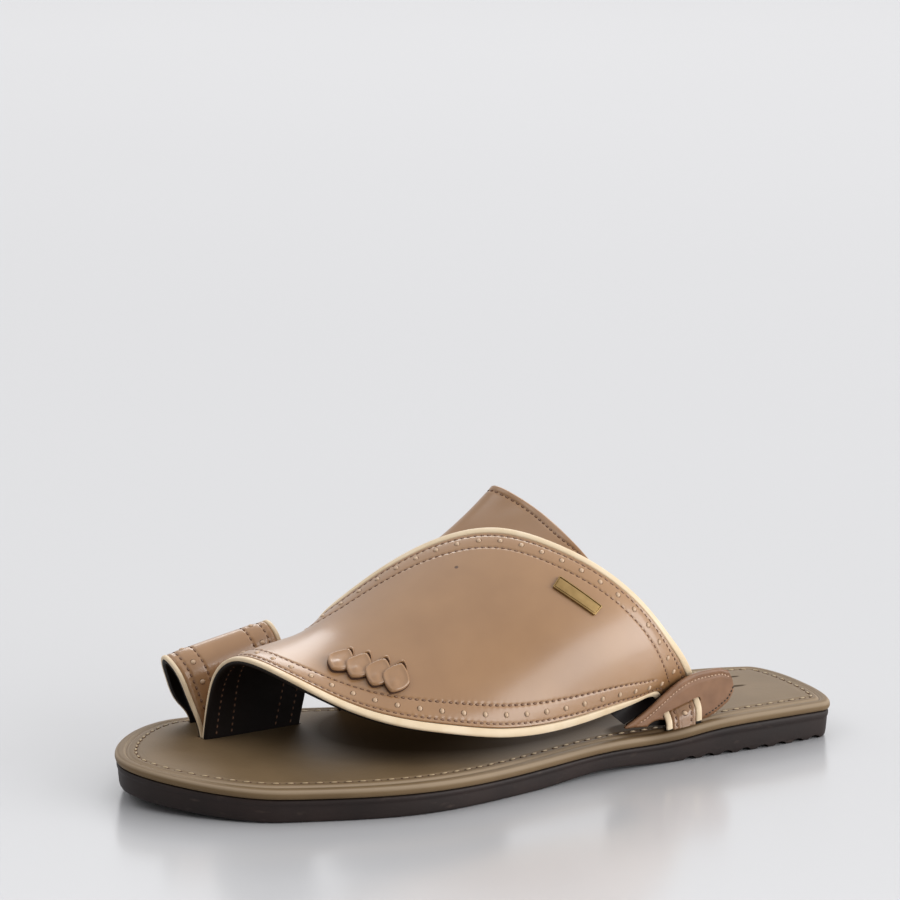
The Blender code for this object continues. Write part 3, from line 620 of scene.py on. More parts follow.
print("inputs:", ", ".join(sockets))

# %% [markdown]
# ## Sole outline
#
# The outline is drawn as a maker draws a sole pattern: half widths about a bent centre line, rounded off
# at heel and toe. The seam height and the tread height run along it. Everything that follows the sole,
# from the rubber to the footbed's stitches, is this outline set in by some distance.

# %% Tables of outline and seam
# Places are in percent of the last's length, widths of its ball width and heights of its heel height.
SOLE_OUTLINE = table(
    "along half_width centre",
    (0.0, 24.6, 1.4), (7.0, 28.2, 0.3), (14.0, 30.0, 0.0), (27.0, 30.7, 0.6), (40.0, 33.0, 2.0),
    (54.0, 41.7, 1.5), (68.0, 49.4, -2.0), (80.0, 48.3, -7.7), (88.0, 44.1, -10.1), (94.0, 39.0, -9.5),
    (100.0, 32.8, -5.6),
)
SEAM = table(
    "along height",
    (0.0, 96.0), (9.0, 100.5), (16.5, 100.0), (22.0, 92.0), (26.0, 80.0), (30.0, 75.5), (36.0, 78.5),
    (44.0, 75.5), (54.0, 70.5), (67.0, 74.5), (84.0, 79.0), (93.0, 94.0), (100.0, 122.0),
)
outline_along = [row.along / 100 for row in SOLE_OUTLINE]
half_width_at = spline(outline_along, [row.half_width * BALL_WIDTH / 100 for row in SOLE_OUTLINE])
centre_at = spline(outline_along, [row.centre * BALL_WIDTH / 100 for row in SOLE_OUTLINE])
seam_at = spline([row.along / 100 for row in SEAM], [row.height * HEEL_HEIGHT / 100 for row in SEAM])
print("the sole is", round(2.0 * half_width_at(0.68)[0, 0], 1), "mm wide at the ball")

# %% Seam and tread
ARCH_FROM, ARCH_TO, ARCH_RISE = 0.26, 0.50, 1.8
SPRING_FROM, TOE_SPRING = 0.82, 4.6


def seam_height(x):
    """Height of the seam between rubber and footbed."""
    return seam_at(np.asarray(x) / LAST_LENGTH)[:, 0]


def tread_height(x):
    """Nought where the sole stands on the floor, more under the arch and at the toe."""
    share = np.asarray(x) / LAST_LENGTH
    arch = np.clip((share - ARCH_FROM) / (ARCH_TO - ARCH_FROM), 0.0, 1.0)
    spring = np.clip((share - SPRING_FROM) / (1.0 - SPRING_FROM), 0.0, 1.0)
    return ARCH_RISE * np.sin(math.pi * arch) ** 2 + TOE_SPRING * spring**2


print("tread rises", round(tread_height([LAST_LENGTH])[0], 1), "mm at the toe")

# %% Outline
HEEL_ROUND, HEEL_POWER = 0.034, 2.3
TOE_ROUND, TOE_POWER = 0.15, 1.85
SIDE_POINTS, FINE_POINTS = 190, 900


def end_rounding(share):
    """Share of the half width that the rounded heel and toe leave."""
    heel = np.clip((HEEL_ROUND - share) / HEEL_ROUND, 0.0, 1.0)
    toe = np.clip((share - 1.0 + TOE_ROUND) / TOE_ROUND, 0.0, 1.0)
    heel_part = np.clip(1.0 - heel**HEEL_POWER, 0.0, 1.0) ** (1.0 / HEEL_POWER)
    return heel_part * np.clip(1.0 - toe**TOE_POWER, 0.0, 1.0) ** (1.0 / TOE_POWER)


def sole_loop(inset):
    """The outline set in by a distance, from the heel along the outer side to the toe and back."""
    share = 0.5 - 0.5 * np.cos(np.linspace(0.0, math.pi, FINE_POINTS))
    half = half_width_at(share)[:, 0] * end_rounding(share)
    centre = centre_at(share)[:, 0]
    sides = []
    for sign in (1.0, -1.0):
        side = np.stack([LAST_LENGTH * share, centre + sign * half], 1)
        run = run_length(side)
        even = np.linspace(0.0, run[-1], SIDE_POINTS + 1)
        sides.append(np.stack([np.interp(even, run, side[:, k]) for k in (0, 1)], 1))
    loop = np.vstack([sides[0], sides[1][-2:0:-1]])
    tangent = np.roll(loop, -1, 0) - np.roll(loop, 1, 0)
    inward = np.stack([tangent[:, 1], -tangent[:, 0]], 1)
    for _ in range(int(2.0 + 2.0 * inset)):
        inward = 0.25 * np.roll(inward, 1, 0) + 0.5 * inward + 0.25 * np.roll(inward, -1, 0)
    inward /= np.linalg.norm(inward, axis=1)[:, None]
    return loop + inset * inward


def on_seam(inset, rise):
    """The outline set in, at a height above the seam."""
    flat = sole_loop(inset)
    return np.column_stack([flat, seam_height(flat[:, 0]) + rise])


outline = sole_loop(0.0)
print("sole outline:", len(outline), "points,", round(np.ptp(outline[:, 1]), 1), "mm wide")

# %% [markdown]
# ## Outsole
#
# The outsole is one rubber moulding. Its side leans in a little towards the floor, with a soft lip just
# under the seam, and shallow arcs are cut out of its lower edge round the heel. It is a stack of
# outlines, and the arcs are rollers set along the edge by the node tree and cut out.

# %% Rubber outsole
OUTSOLE_SIDE = table(
    "inset height",
    (2.6, 0.0), (2.05, 0.03), (1.65, 0.09), (1.4, 0.2), (1.2, 0.45), (1.05, 0.66), (1.05, 0.71),
    (0.95, 0.75), (0.75, 0.79), (0.62, 0.84), (0.58, 0.92), (0.8, 0.98), (1.2, 1.0),
)
SOLE_COLUMNS = 16
NOTCH_FROM, NOTCH_TO = 0.04, 0.25
NOTCH_PITCH = 7.4
NOTCH_SIZE = (5.6, 16.0, 3.2)

loops = []
for row in OUTSOLE_SIDE:
    flat = sole_loop(row.inset)
    low = tread_height(flat[:, 0])
    loops.append(np.column_stack([flat, low + row.height * (seam_height(flat[:, 0]) - low)]))
outsole = new_object("outsole_rubber", stack(loops, SOLE_COLUMNS, 0.0))

for side in (outline[: SIDE_POINTS + 1], np.vstack([outline[SIDE_POINTS:], outline[:1]])):
    keep = (side[:, 0] > NOTCH_FROM * LAST_LENGTH) & (side[:, 0] < NOTCH_TO * LAST_LENGTH)
    path = np.column_stack([side[keep], tread_height(side[keep][:, 0])])
    upward = np.tile([0.0, 0.0, 1.0], (len(path), 1))
    cut(outsole, set_along("notches", [(path, upward)], roller, NOTCH_PITCH, NOTCH_SIZE, rubber))
dress(outsole, rubber, "outsole", sharp=50.0)

# %% [markdown]
# ## Straps as surfaces
#
# A strap is described by sections across it: where its front and back edges lie, how far the leather
# bulges between them, and how thick it is. A smooth curve through the sections gives a surface with a
# place along the strap and a place across it, and that surface carries leather, lining, piping, holes
# and stitches alike.

# %% Sections of the straps
# Edges are in percent of the last's length, ball width and instep height. Crown and wall are in mm.
SECTION = "front back crown wall"
RING_SECTIONS = table(
    SECTION,
    ((84.0, -47.0, 10.1), (71.6, -49.0, 9.9), 0.0, 2.2),
    ((84.1, -47.0, 14.4), (71.6, -49.2, 13.9), 0.0, 2.2),
    ((85.8, -48.3, 22.3), (72.3, -50.7, 27.7), 0.2, 2.8),
    ((87.5, -46.8, 33.2), (73.1, -48.6, 41.0), 0.3, 3.0),
    ((88.6, -43.0, 40.5), (73.7, -44.6, 49.5), 0.3, 3.0),
    ((89.0, -37.8, 43.8), (73.8, -39.2, 53.0), 0.3, 3.0),
    ((88.4, -32.3, 40.6), (73.2, -34.4, 49.0), 0.3, 3.0),
    ((87.3, -28.5, 31.2), (72.4, -32.6, 36.9), 0.3, 2.8),
    ((86.3, -26.5, 22.1), (71.8, -31.8, 24.6), 0.2, 2.4),
    ((85.7, -25.6, 14.3), (71.2, -31.4, 13.8), 0.0, 2.2),
    ((85.7, -24.9, 10.1), (71.2, -30.6, 9.8), 0.0, 2.2),
)
VAMP_SECTIONS = table(
    SECTION,
    ((85.7, -25.7, 10.1), (71.2, -31.4, 9.8), 0.0, 2.2),
    ((85.7, -25.1, 14.4), (71.2, -30.8, 13.8), 0.0, 2.2),
    ((85.4, -22.7, 30.8), (70.5, -30.6, 25.6), 0.5, 2.8),
    ((85.1, -18.0, 42.1), (70.1, -30.5, 34.9), 1.5, 3.0),
    ((84.0, -5.4, 50.7), (69.5, -30.2, 44.6), 3.0, 3.0),
    ((81.2, 10.8, 48.8), (68.4, -29.7, 53.9), 2.0, 3.0),
    ((76.0, 23.4, 39.9), (65.3, -28.6, 62.4), 3.5, 3.0),
    ((69.5, 33.3, 32.0), (59.8, -24.8, 74.1), 6.0, 3.0),
    ((62.1, 38.1, 26.9), (52.6, -18.5, 85.1), 8.0, 3.0),
    ((55.1, 39.6, 23.2), (46.0, -8.1, 89.4), 9.0, 3.0),
    ((48.4, 38.3, 21.9), (40.5, 5.4, 85.1), 9.0, 3.0),
    ((42.1, 35.6, 22.8), (35.5, 15.8, 76.4), 8.0, 3.0),
    ((36.5, 31.5, 24.2), (30.5, 23.0, 62.2), 6.0, 3.0),
    ((32.3, 26.8, 24.9), (26.7, 25.0, 47.7), 3.0, 2.6),
    ((29.3, 23.6, 25.0), (23.9, 23.4, 36.8), 0.6, 2.2),
    ((28.4, 23.4, 21.6), (22.6, 23.3, 27.6), 0.0, 2.0),
    ((28.2, 26.3, 18.2), (22.8, 26.1, 23.2), 0.0, 2.0),
    ((28.2, 28.4, 15.4), (22.8, 28.2, 19.9), 0.0, 2.0),
    ((28.2, 28.8, 12.9), (22.8, 28.6, 15.2), 0.0, 2.0),
    ((28.2, 29.3, 10.5), (22.8, 29.1, 11.4), 0.0, 2.0),
)
STRAP_WALL = 2.4
STRAP_SECTIONS = table(
    SECTION,
    ((63.2, -43.1, 9.2), (40.0, -27.3, 9.2), 0.0, STRAP_WALL),
    ((63.2, -43.2, 13.9), (40.0, -27.5, 13.9), 0.0, STRAP_WALL),
    ((64.2, -46.4, 34.9), (38.8, -34.7, 41.0), 2.0, STRAP_WALL),
    ((64.4, -45.0, 47.2), (38.9, -38.7, 71.8), 2.0, STRAP_WALL),
    ((63.5, -40.5, 54.9), (41.1, -36.5, 93.3), -2.0, STRAP_WALL),
    ((62.3, -34.7, 61.8), (42.5, -28.4, 100.5), -4.0, STRAP_WALL),
    ((61.8, -31.1, 65.4), (39.7, -15.3, 94.7), -3.0, STRAP_WALL),
    ((61.6, -28.8, 66.9), (38.2, 2.7, 86.8), -1.0, STRAP_WALL),
)
RING_LAST, VAMP_LAST = len(RING_SECTIONS) - 1, len(VAMP_SECTIONS) - 1
print("sections:", len(RING_SECTIONS), len(VAMP_SECTIONS), len(STRAP_SECTIONS))

# %% A strap's surface
# A strap has a rim of piping along each edge and a punched band inside it. Where the strap is narrow the
# two bands share the width, and the rims get slimmer on some rows.
SLOPE_STEP = 0.004
FACE_STEP = 0.002
WALL = 3.0
RIM = 3.3
RIM_BLEND = 4.6
BAND_GAP, SQUEEZE = 0.3, 10
FINE_ROWS, WIDTH_POINTS = 500, 13
RING_RIMS = ((0.0, 0.55), (10.0, 0.55))
VAMP_RIMS = ((2.0, 0.55), (5.5, 1.0), (12.0, 1.0), (16.0, 0.85))
VAMP_SPLIT = ((11.0, 0.5), (13.5, 0.4))


class Strip:
    """A strap's outer face: u along it from row to row, v across it from front edge to back edge."""

    def __init__(self, sections, rims=((0.0, 1.0),), split=((0.0, 0.5),)):
        front = np.array([last_point(s.front) for s in sections])
        back = np.array([last_point(s.back) for s in sections])
        run = run_length((front + back) / 2.0)
        self.knots = run / run[-1]
        self.front = spline(self.knots, front)
        self.back = spline(self.knots, back)
        self.crown = spline(self.knots, [s.crown for s in sections])
        self.walls = [s.wall for s in sections]
        self.rims = np.array(rims)
        self.split = np.array(split)

    def row(self, number):
        """Place along the strip of a table row, or between two rows."""
        return np.interp(number, np.arange(len(self.knots)), self.knots)

    def spaced(self, first, last, step):
        """Places along the strip between two table rows, a set distance apart along its middle."""
        fine = self.row(np.linspace(first, last, FINE_ROWS))
        run = run_length(self.point(fine, np.full_like(fine, 0.5)))
        return np.interp(np.linspace(0.0, run[-1], int(run[-1] / step) + 2), run, fine)

    def thin(self, u):
        """Share of the full wall that the strap has at a place."""
        return np.interp(u, self.knots, self.walls) / WALL

    def point(self, u, v):
        """Point on the face, which the crown bulges between its edges."""
        u, v = np.broadcast_arrays(np.asarray(u, float), np.asarray(v, float))
        shape = u.shape
        u = u.ravel()
        v = v.ravel()[:, None]
        front = self.front(u)
        chord = self.back(u) - front
        ahead = np.clip(u + SLOPE_STEP, 0.0, 1.0)
        behind = np.clip(u - SLOPE_STEP, 0.0, 1.0)
        along = self.front(ahead) + self.back(ahead) - self.front(behind) - self.back(behind)
        out = np.cross(along, chord)
        out /= np.linalg.norm(out, axis=1)[:, None]
        return (front + v * chord + 4.0 * v * (1.0 - v) * self.crown(u) * out).reshape(shape + (3,))

    def frame(self, u, v):
        """Point, its slopes along and across the strip, and the outward normal."""
        u, v = np.broadcast_arrays(np.asarray(u, float), np.asarray(v, float))
        ahead = np.clip(u + FACE_STEP, 0.0, 1.0)
        behind = np.clip(u - FACE_STEP, 0.0, 1.0)
        along = (self.point(ahead, v) - self.point(behind, v)) / (ahead - behind)[..., None]
        across = (self.point(u, v + FACE_STEP) - self.point(u, v - FACE_STEP)) / (2.0 * FACE_STEP)
        normal = np.cross(along, across)
        normal /= np.linalg.norm(normal, axis=-1)[..., None]
        return self.point(u, v), along, across, normal

    def width(self, u):
        """Distance across the face from edge to edge."""
        v = np.linspace(0.0, 1.0, WIDTH_POINTS)
        points = self.point(np.asarray(u)[:, None], v[None, :])
        return np.linalg.norm(np.diff(points, axis=1), axis=2).sum(1)

    def inward(self, u, distance, from_back):
        """Distances in from an edge, kept short of the other edge's band where the strip is narrow."""
        split = np.interp(u, self.row(self.split[:, 0]), self.split[:, 1])
        room = (self.width(u) * (1.0 - split if from_back else split))[:, None] - BAND_GAP
        distance = np.atleast_1d(np.asarray(distance, float))[None, :]
        return distance / (1.0 + (distance / room) ** SQUEEZE) ** (1.0 / SQUEEZE)

    def across(self, u, distance, from_back=False):
        """Place across the strip at a distance in from an edge, with the rim slimmer on some rows."""
        inward = self.inward(u, distance, from_back)
        slim = np.interp(u, self.row(self.rims[:, 0]), self.rims[:, 1])[:, None]
        in_rim = np.clip((RIM_BLEND - inward) / (RIM_BLEND - RIM), 0.0, 1.0)
        share = inward * (1.0 - in_rim * (1.0 - slim)) / self.width(u)[:, None]
        return 1.0 - share if from_back else share


ring = Strip(RING_SECTIONS, RING_RIMS)
vamp = Strip(VAMP_SECTIONS, VAMP_RIMS, VAMP_SPLIT)
strap_rise = Strip(STRAP_SECTIONS)
print("vamp is", [round(w, 1) for w in vamp.width(vamp.row([4, 8, 12, 16]))], "mm wide")

# %% [markdown]
# ## Footbed
#
# The footbed is foam and board covered in leather. The cover is rolled over its edge, with a groove and a
# low ridge inside the roll and the seam in a dip beyond them, and slits let the straps through. A cloth
# simulation would suit a slack cushion, but this pad is thin and firm, so it is a stack of outlines along
# a rounded profile, filled across with a slight crown, and the slits are cut out.

# %% Padded footbed
FOOTBED_PROFILE = table(
    "inset rise",
    (2.0, 0.1), (0.5, 0.6), (0.0, 1.9), (0.3, 3.0), (1.2, 3.75), (2.3, 4.0), (3.4, 3.85), (4.2, 3.35),
    (4.9, 3.8), (5.8, 4.3), (6.8, 4.35), (7.6, 4.1), (8.5, 4.4), (10.0, 4.6),
)
PROFILE_STEPS = 58
BED_COLUMNS = 22
FOOTBED_CROWN = 0.5

profile = np.array(FOOTBED_PROFILE)
profile_at = spline(run_length(profile) / run_length(profile)[-1], profile)
loops = [on_seam(inset, rise) for inset, rise in profile_at(np.linspace(0.0, 1.0, PROFILE_STEPS))]
footbed = new_object("footbed_cover", stack(loops, BED_COLUMNS, FOOTBED_CROWN))
print("footbed cover with", len(footbed.data.polygons), "faces")

# %% Slits for the straps
FIT_GAP = 0.3
SLIT_TOP = 30.0
SLIT_POINTS = 9


def slit(path, width):
    """A cutter along a path on the footbed, run on a little past both ends of it."""
    path = np.array(path)[:, :2]
    tangent = np.gradient(path, axis=0)
    tangent /= np.linalg.norm(tangent, axis=1)[:, None]
    path[0] -= FIT_GAP * tangent[0]
    path[-1] += FIT_GAP * tangent[-1]
    side = np.stack([-tangent[:, 1], tangent[:, 0]], 1) * width / 2.0
    corners = np.stack([path + side, path - side, path - side, path + side], 1)
    heights = np.array([0.0, 0.0, SLIT_TOP, SLIT_TOP])[None, :, None]
    heights = np.broadcast_to(heights, corners.shape[:2] + (1,))
    return new_object("slit", sweep(np.concatenate([corners, heights], 2)))


def wall_middle(strip, row):
    """The middle of a strap's wall at one table row."""
    share = np.linspace(0.0, 1.0, SLIT_POINTS)
    point, _, _, normal = strip.frame(np.full(SLIT_POINTS, strip.row(row)), share)
    return point - normal * strip.walls[row] / 2.0


fold_sides = wall_middle(ring, RING_LAST - 1), wall_middle(vamp, 1)
fold_width = np.linalg.norm(fold_sides[0] - fold_sides[1], axis=1).mean() + vamp.walls[1]
for path, width in (
    (wall_middle(ring, 1), ring.walls[1]),
    ((fold_sides[0] + fold_sides[1]) / 2.0, fold_width),
    (wall_middle(vamp, VAMP_LAST - 1), vamp.walls[-2]),
    (wall_middle(strap_rise, 1), STRAP_WALL),
):
    cut(footbed, slit(path, width + 2.0 * FIT_GAP))
dress(footbed, olive, "footbed", sharp=60.0)

# %% [markdown]
# ## Ring and vamp
#
# Toe ring and vamp are one long strip of calf, folded down into the footbed between the toes. The calf
# stops short of the edge, where a cream piping is sewn in, and a dark lining runs right to the edge. The
# calf's surface dips along its two seams, puckers at each stitch and swells a little between the rows,
# so the threads are sewn in rather than laid on. That relief is in the mesh, because it catches light.

# %% Relief of a layer
LINING = 1.0
SEAM_ROWS = (4.7, 11.3)
SEAM_DIP, SEAM_SPREAD = 0.28, 0.55
BAND_SWELL, SWELL_SPREAD = 0.12, 2.2
PUCKER, PUCKER_SPREAD = 0.07, 1.3
STITCH_PITCH = 2.5
EDGE_ROUND = 0.5
LINING_EDGE = (0.0, 0.02, 0.3, 2.9, 3.2)
LINING_FACE = (-2.1, -1.45, -1.25, -1.25, -2.0)


def hump(distance, place, spread):
    """A soft ridge of height one at a place."""
    return np.exp(-(((distance - place) / spread) ** 2))


def calf_height(distance, run):
    """Height of the calf's face over the strap's surface, in from the edge and on along the seam."""
    height = np.zeros_like(distance)
    pucker = PUCKER * np.cos(2.0 * math.pi * run / STITCH_PITCH)
    for seam in SEAM_ROWS:
        height -= SEAM_DIP * hump(distance, seam, SEAM_SPREAD)
        height += pucker * hump(distance, seam, PUCKER_SPREAD)
    height += BAND_SWELL * hump(distance, sum(SEAM_ROWS) / 2.0, SWELL_SPREAD)
    edge = np.clip(1.0 - (distance - RIM) / EDGE_ROUND, 0.0, 1.0)
    return height - EDGE_ROUND * (1.0 - np.sqrt(1.0 - edge**2))


def lining_height(distance, run):
    """Height of the lining's face, rounded off at the edge and the same all along the seam."""
    return np.interp(distance, LINING_EDGE, LINING_FACE)


print("calf dips", SEAM_DIP, "mm at each of", len(SEAM_ROWS), "seams")

# %% Calf and lining of ring and vamp
ROW_STEP = 1.3
CALF_STEP = 0.62
CALF_BAND = np.linspace(RIM, 13.2, 30)
CALF_UNDER, LINING_UNDER = 9, 40
UNDER_SPAN = (0.985, 0.015)
LAYERS = table("name strip last middle", ("ring", ring, RING_LAST, 12), ("vamp", vamp, VAMP_LAST, 34))


def layer(strip, last, step, distance, height_at, middle, depth, under):
    """A layer of a strap: edge columns from both sides, plain columns between, and a plain underside."""
    u = strip.spaced(0.0, last, step)
    front = strip.across(u, distance)
    back = strip.across(u, distance, True)[:, ::-1]
    share = np.linspace(0.0, 1.0, middle + 2)[None, 1:-1]
    centre = front[:, -1:] + (back[:, :1] - front[:, -1:]) * share
    below = front[:, :1] + (back[:, -1:] - front[:, :1]) * np.linspace(*UNDER_SPAN, under)[None, :]
    v = np.hstack([front, centre, back, below])
    edges = []
    for from_back in (False, True):
        run = run_length(strip.point(u, strip.across(u, SEAM_ROWS[0], from_back)[:, 0]))[:, None]
        edges.append(height_at(strip.inward(u, distance, from_back), run))
    flat = np.zeros((len(u), middle))
    heights = np.hstack([edges[0], flat, edges[1][:, ::-1], np.full((len(u), under), depth)])
    points, _, _, normals = strip.frame(u[:, None], v)
    return sweep(points + normals * (heights * strip.thin(u)[:, None])[:, :, None])


calf = {}
for name, strip, last, middle in LAYERS:
    solid = layer(strip, last, CALF_STEP, CALF_BAND, calf_height, middle, LINING - WALL, CALF_UNDER)
    calf[name] = new_object(f"{name}_calf", solid)
for name, strip, last, _ in LAYERS:
    solid = layer(strip, last, ROW_STEP, LINING_EDGE, lining_height, 0, -WALL, LINING_UNDER)
    dress(new_object(f"{name}_lining", solid), lining, "upper", sharp=55.0)

# %% [markdown]
# ## Brogue holes
#
# A row of round holes is punched through the calf between the two seams, down to a pale backing. The
# node tree sets punches along a line on the band, which are cut out of the calf. It then sets a dark
# disc of painted shade in the bottom of each hole and a pale bead of backing set off to one side, so
# each hole shows a pale spot and a dark crescent where light from one side would put them: painted
# highlight and shade over a pale backing.

# %% Lines along a strap's edge
BANDS_MEET = 0.85
PATH_STEP = 0.6
EDGES = (("front", False), ("back", True))


def edge_path(strip, first, last, distance, from_back, lift=0.0):
    """A path along a strap, in from one edge until the bands meet, with the way the surface faces."""
    u = strip.spaced(first, last, PATH_STEP)
    u = u[strip.inward(u, distance, from_back)[:, 0] > BANDS_MEET * distance]
    v = strip.across(u, distance, from_back)[:, 0]
    point, _, _, normal = strip.frame(u, v)
    return point + normal * lift * strip.thin(u)[:, None], normal


print("paths have a point every", PATH_STEP, "mm")

# %% Punched holes
HOLE_LINE = 7.8
HOLE_PITCH = 8.0
HOLE_DEPTH = 1.2
PUNCH_SIZE = (2.2, 2.2, 2.0 * HOLE_DEPTH)
# The dark floor disc is painted shade, and the pale bead is shifted to the side that light would brighten:
# painted highlight over a pale backing.
PIT_SIZE, PIT_SHIFT = (2.332, 2.332, 1.0), (0.0, 0.0, 0.1 - HOLE_DEPTH)
BACKING_SIZE, BACKING_SHIFT = (1.9, 2.25, 1.2), (-0.58, 0.15, -0.56)
HOLES_ON_RING = (1.6, RING_LAST - 1.6)
HOLES_ON_VAMP = (1.5, 14.6)
HOLES_ON_TAIL = (16.75, 18.9)

hole_paths = {
    "ring": [edge_path(ring, *HOLES_ON_RING, HOLE_LINE, back) for _, back in EDGES],
    "vamp": [edge_path(vamp, *HOLES_ON_VAMP, HOLE_LINE, back) for _, back in EDGES],
}
hole_paths["vamp"].append(edge_path(vamp, *HOLES_ON_TAIL, HOLE_LINE, True))
for name, paths in hole_paths.items():
    cut(calf[name], set_along("punches", paths, punch, HOLE_PITCH, PUNCH_SIZE, taupe))
    pits = set_along(f"{name}_punch_floor", paths, disc, HOLE_PITCH, PIT_SIZE, needle, PIT_SHIFT)
    backing_bead = set_along(f"{name}_punch_backing", paths, bead, HOLE_PITCH, BACKING_SIZE, backing, BACKING_SHIFT)
    dress(calf[name], taupe, "upper", sharp=50.0)
    dress(pits, needle, "upper")
    dress(backing_bead, backing, "upper", sharp=180.0)

# %% [markdown]
# ## Piping
#
# The cream piping is a folded strip of thin leather that fills the rim between calf and edge. A bevelled
# curve would do, but the rim's width changes along the strap, so one rounded section is swept along each
# edge, from footbed to footbed, and follows the rim.

# %% Cream piping
PIPING_PROFILE = table(
    "inward height",
    (0.1, -1.2), (0.0, -0.8), (0.04, -0.4), (0.22, -0.1), (0.6, 0.06), (1.4, 0.12), (2.3, 0.08),
    (2.85, -0.08), (3.1, -0.4), (3.15, -1.2),
)


def piping(strip, last, from_back):
    """The rounded section along one edge, from footbed to footbed."""
    u = strip.spaced(1.0, last - 1.0, ROW_STEP)
    v = strip.across(u, [p.inward for p in PIPING_PROFILE], from_back)
    heights = np.array([p.height for p in PIPING_PROFILE])
    points, _, _, normals = strip.frame(u[:, None], v)
    return sweep(points + normals * heights[None, :, None] * strip.thin(u)[:, None, None])


for name, strip, last, _ in LAYERS:
    for side, from_back in EDGES:
        made = new_object(f"{name}_{side}_cream", piping(strip, last, from_back))
        dress(made, cream, f"{name}_{side}_piping", sharp=70.0)

# %% [markdown]
# ## Instep strap
#
# A broad plain strap comes up from the inner side of the footbed, lies over the instep and runs in under
# the vamp's back edge, where the vamp's seams hold it. Its edges are turned and sewn, without piping. Its
# last rows are taken from the vamp's own surface, so that the two lie on each other.

# %% Surface of the instep strap
LAP = 14.0
LAP_SINK = 0.5
LAP_ROWS = (6.7, 10.9)


def strap_surface(share):
    """The strap's face over columns across it: rows from the footbed, then rows under the vamp's edge."""
    rows = [strap_rise.point(np.full_like(share, knot), share) for knot in strap_rise.knots]
    u = vamp.row(LAP_ROWS[0] + (LAP_ROWS[1] - LAP_ROWS[0]) * share)
    for lap in (0.0, LAP / 2.0, LAP):
        point, _, _, normal = vamp.frame(u, 1.0 - lap / vamp.width(u))
        rows.append(point - (WALL - LAP_SINK) * normal)
    rows = np.array(rows)
    run = np.concatenate([[0.0], np.cumsum(np.linalg.norm(np.diff(rows, axis=0), axis=2).mean(1))])
    surface = spline(run / run[-1], rows.reshape(len(rows), -1))
    points = surface(np.linspace(0.0, 1.0, int(run[-1] / ROW_STEP))).reshape(-1, len(share), 3)
    normals = np.cross(np.gradient(points, axis=0), np.gradient(points, share, axis=1))
    return points, normals / np.linalg.norm(normals, axis=2)[:, :, None]


def strap_layer(share, face, back):
    """A layer of the strap between the heights of its face and its back."""
    points, normals = strap_surface(share)
    path = np.concatenate([np.arange(len(share)), np.arange(len(share))[::-1]])
    height = np.concatenate([face, np.full_like(face, back)])
    return sweep(points[:, path] + normals[:, path] * height[None, :, None])


print("strap laps", LAP, "mm under the vamp")

# %% Calf and lining of the instep strap
STRAP_WIDTH = 66.0
STRAP_CALF = 1.5
STRAP_SEAM = 2.5
TURN_ROUND = 0.7
STRAP_MIDDLE, LINING_COLUMNS = 44, 30
LINING_SPAN = (0.006, 0.994)

# Columns in from an edge, in mm: close together over the turned edge and over the seam.
edge = np.concatenate([np.linspace(0.0, 1.2, 7), np.linspace(1.5, 4.0, 11)]) / STRAP_WIDTH
middle = np.linspace(edge[-1], 1.0 - edge[-1], STRAP_MIDDLE)[1:-1]
share = np.concatenate([edge, middle, (1.0 - edge)[::-1]])
from_edge = np.minimum(share, 1.0 - share) * STRAP_WIDTH
turned = np.clip(1.0 - from_edge / TURN_ROUND, 0.0, 1.0)
face = -TURN_ROUND * (1.0 - np.sqrt(1.0 - turned**2))
face -= SEAM_DIP * hump(from_edge, STRAP_SEAM, SEAM_SPREAD)
strap_calf = new_object("strap_calf", strap_layer(share, face, -STRAP_CALF))
dress(strap_calf, taupe, "upper", sharp=55.0)

share = np.linspace(*LINING_SPAN, LINING_COLUMNS)
strap_lining = strap_layer(share, np.full(LINING_COLUMNS, -STRAP_CALF), -STRAP_WALL)
dress(new_object("strap_lining", strap_lining), lining, "upper", sharp=55.0)

# %% [markdown]
# ## Keeper
#
# On the outer side a half-moon leaf of calf stands on the footbed, and the vamp's tail goes out through
# a slit in it. The leaf is swept along its axis between an upper and a lower edge, with the lower edge
# cut to the footbed and its back end round, and the slit is a slot with round ends.

# %% Face of the keeper
KEEPER_FRONT = (34.0, 25.9, 15.3)
KEEPER_BACK = (17.8, 25.2, 30.2)
KEEPER_STAND = 4.4
KEEPER_BULGE = 0.2
KEEPER_LIFT, LIFT_AT, LIFT_REACH = 3.2, 0.31, 0.13
KEEPER_SHAPE = table(
    "along upper lower",
    (0.0, 0.3, -0.5), (0.17, 2.0, -3.5), (0.30, 3.8, -6.5), (0.43, 5.9, -9.0), (0.60, 7.7, -10.9),
    (0.75, 7.3, -11.0), (0.88, 5.7, -9.6), (0.94, 4.4, -8.2), (0.975, 3.0, -6.6), (0.992, 1.5, -4.7),
    (1.0, -1.2, -1.8),
)
keeper_front = last_point(KEEPER_FRONT)
keeper_axis = last_point(KEEPER_BACK) - keeper_front
keeper_length = np.linalg.norm(keeper_axis)
keeper_axis /= keeper_length
keeper_up = np.cross(keeper_axis, [0.0, 1.0, 0.0])
keeper_up *= np.sign(keeper_up[2]) / np.linalg.norm(keeper_up)
keeper_edges = spline([r.along for r in KEEPER_SHAPE], [(r.upper, r.lower) for r in KEEPER_SHAPE])


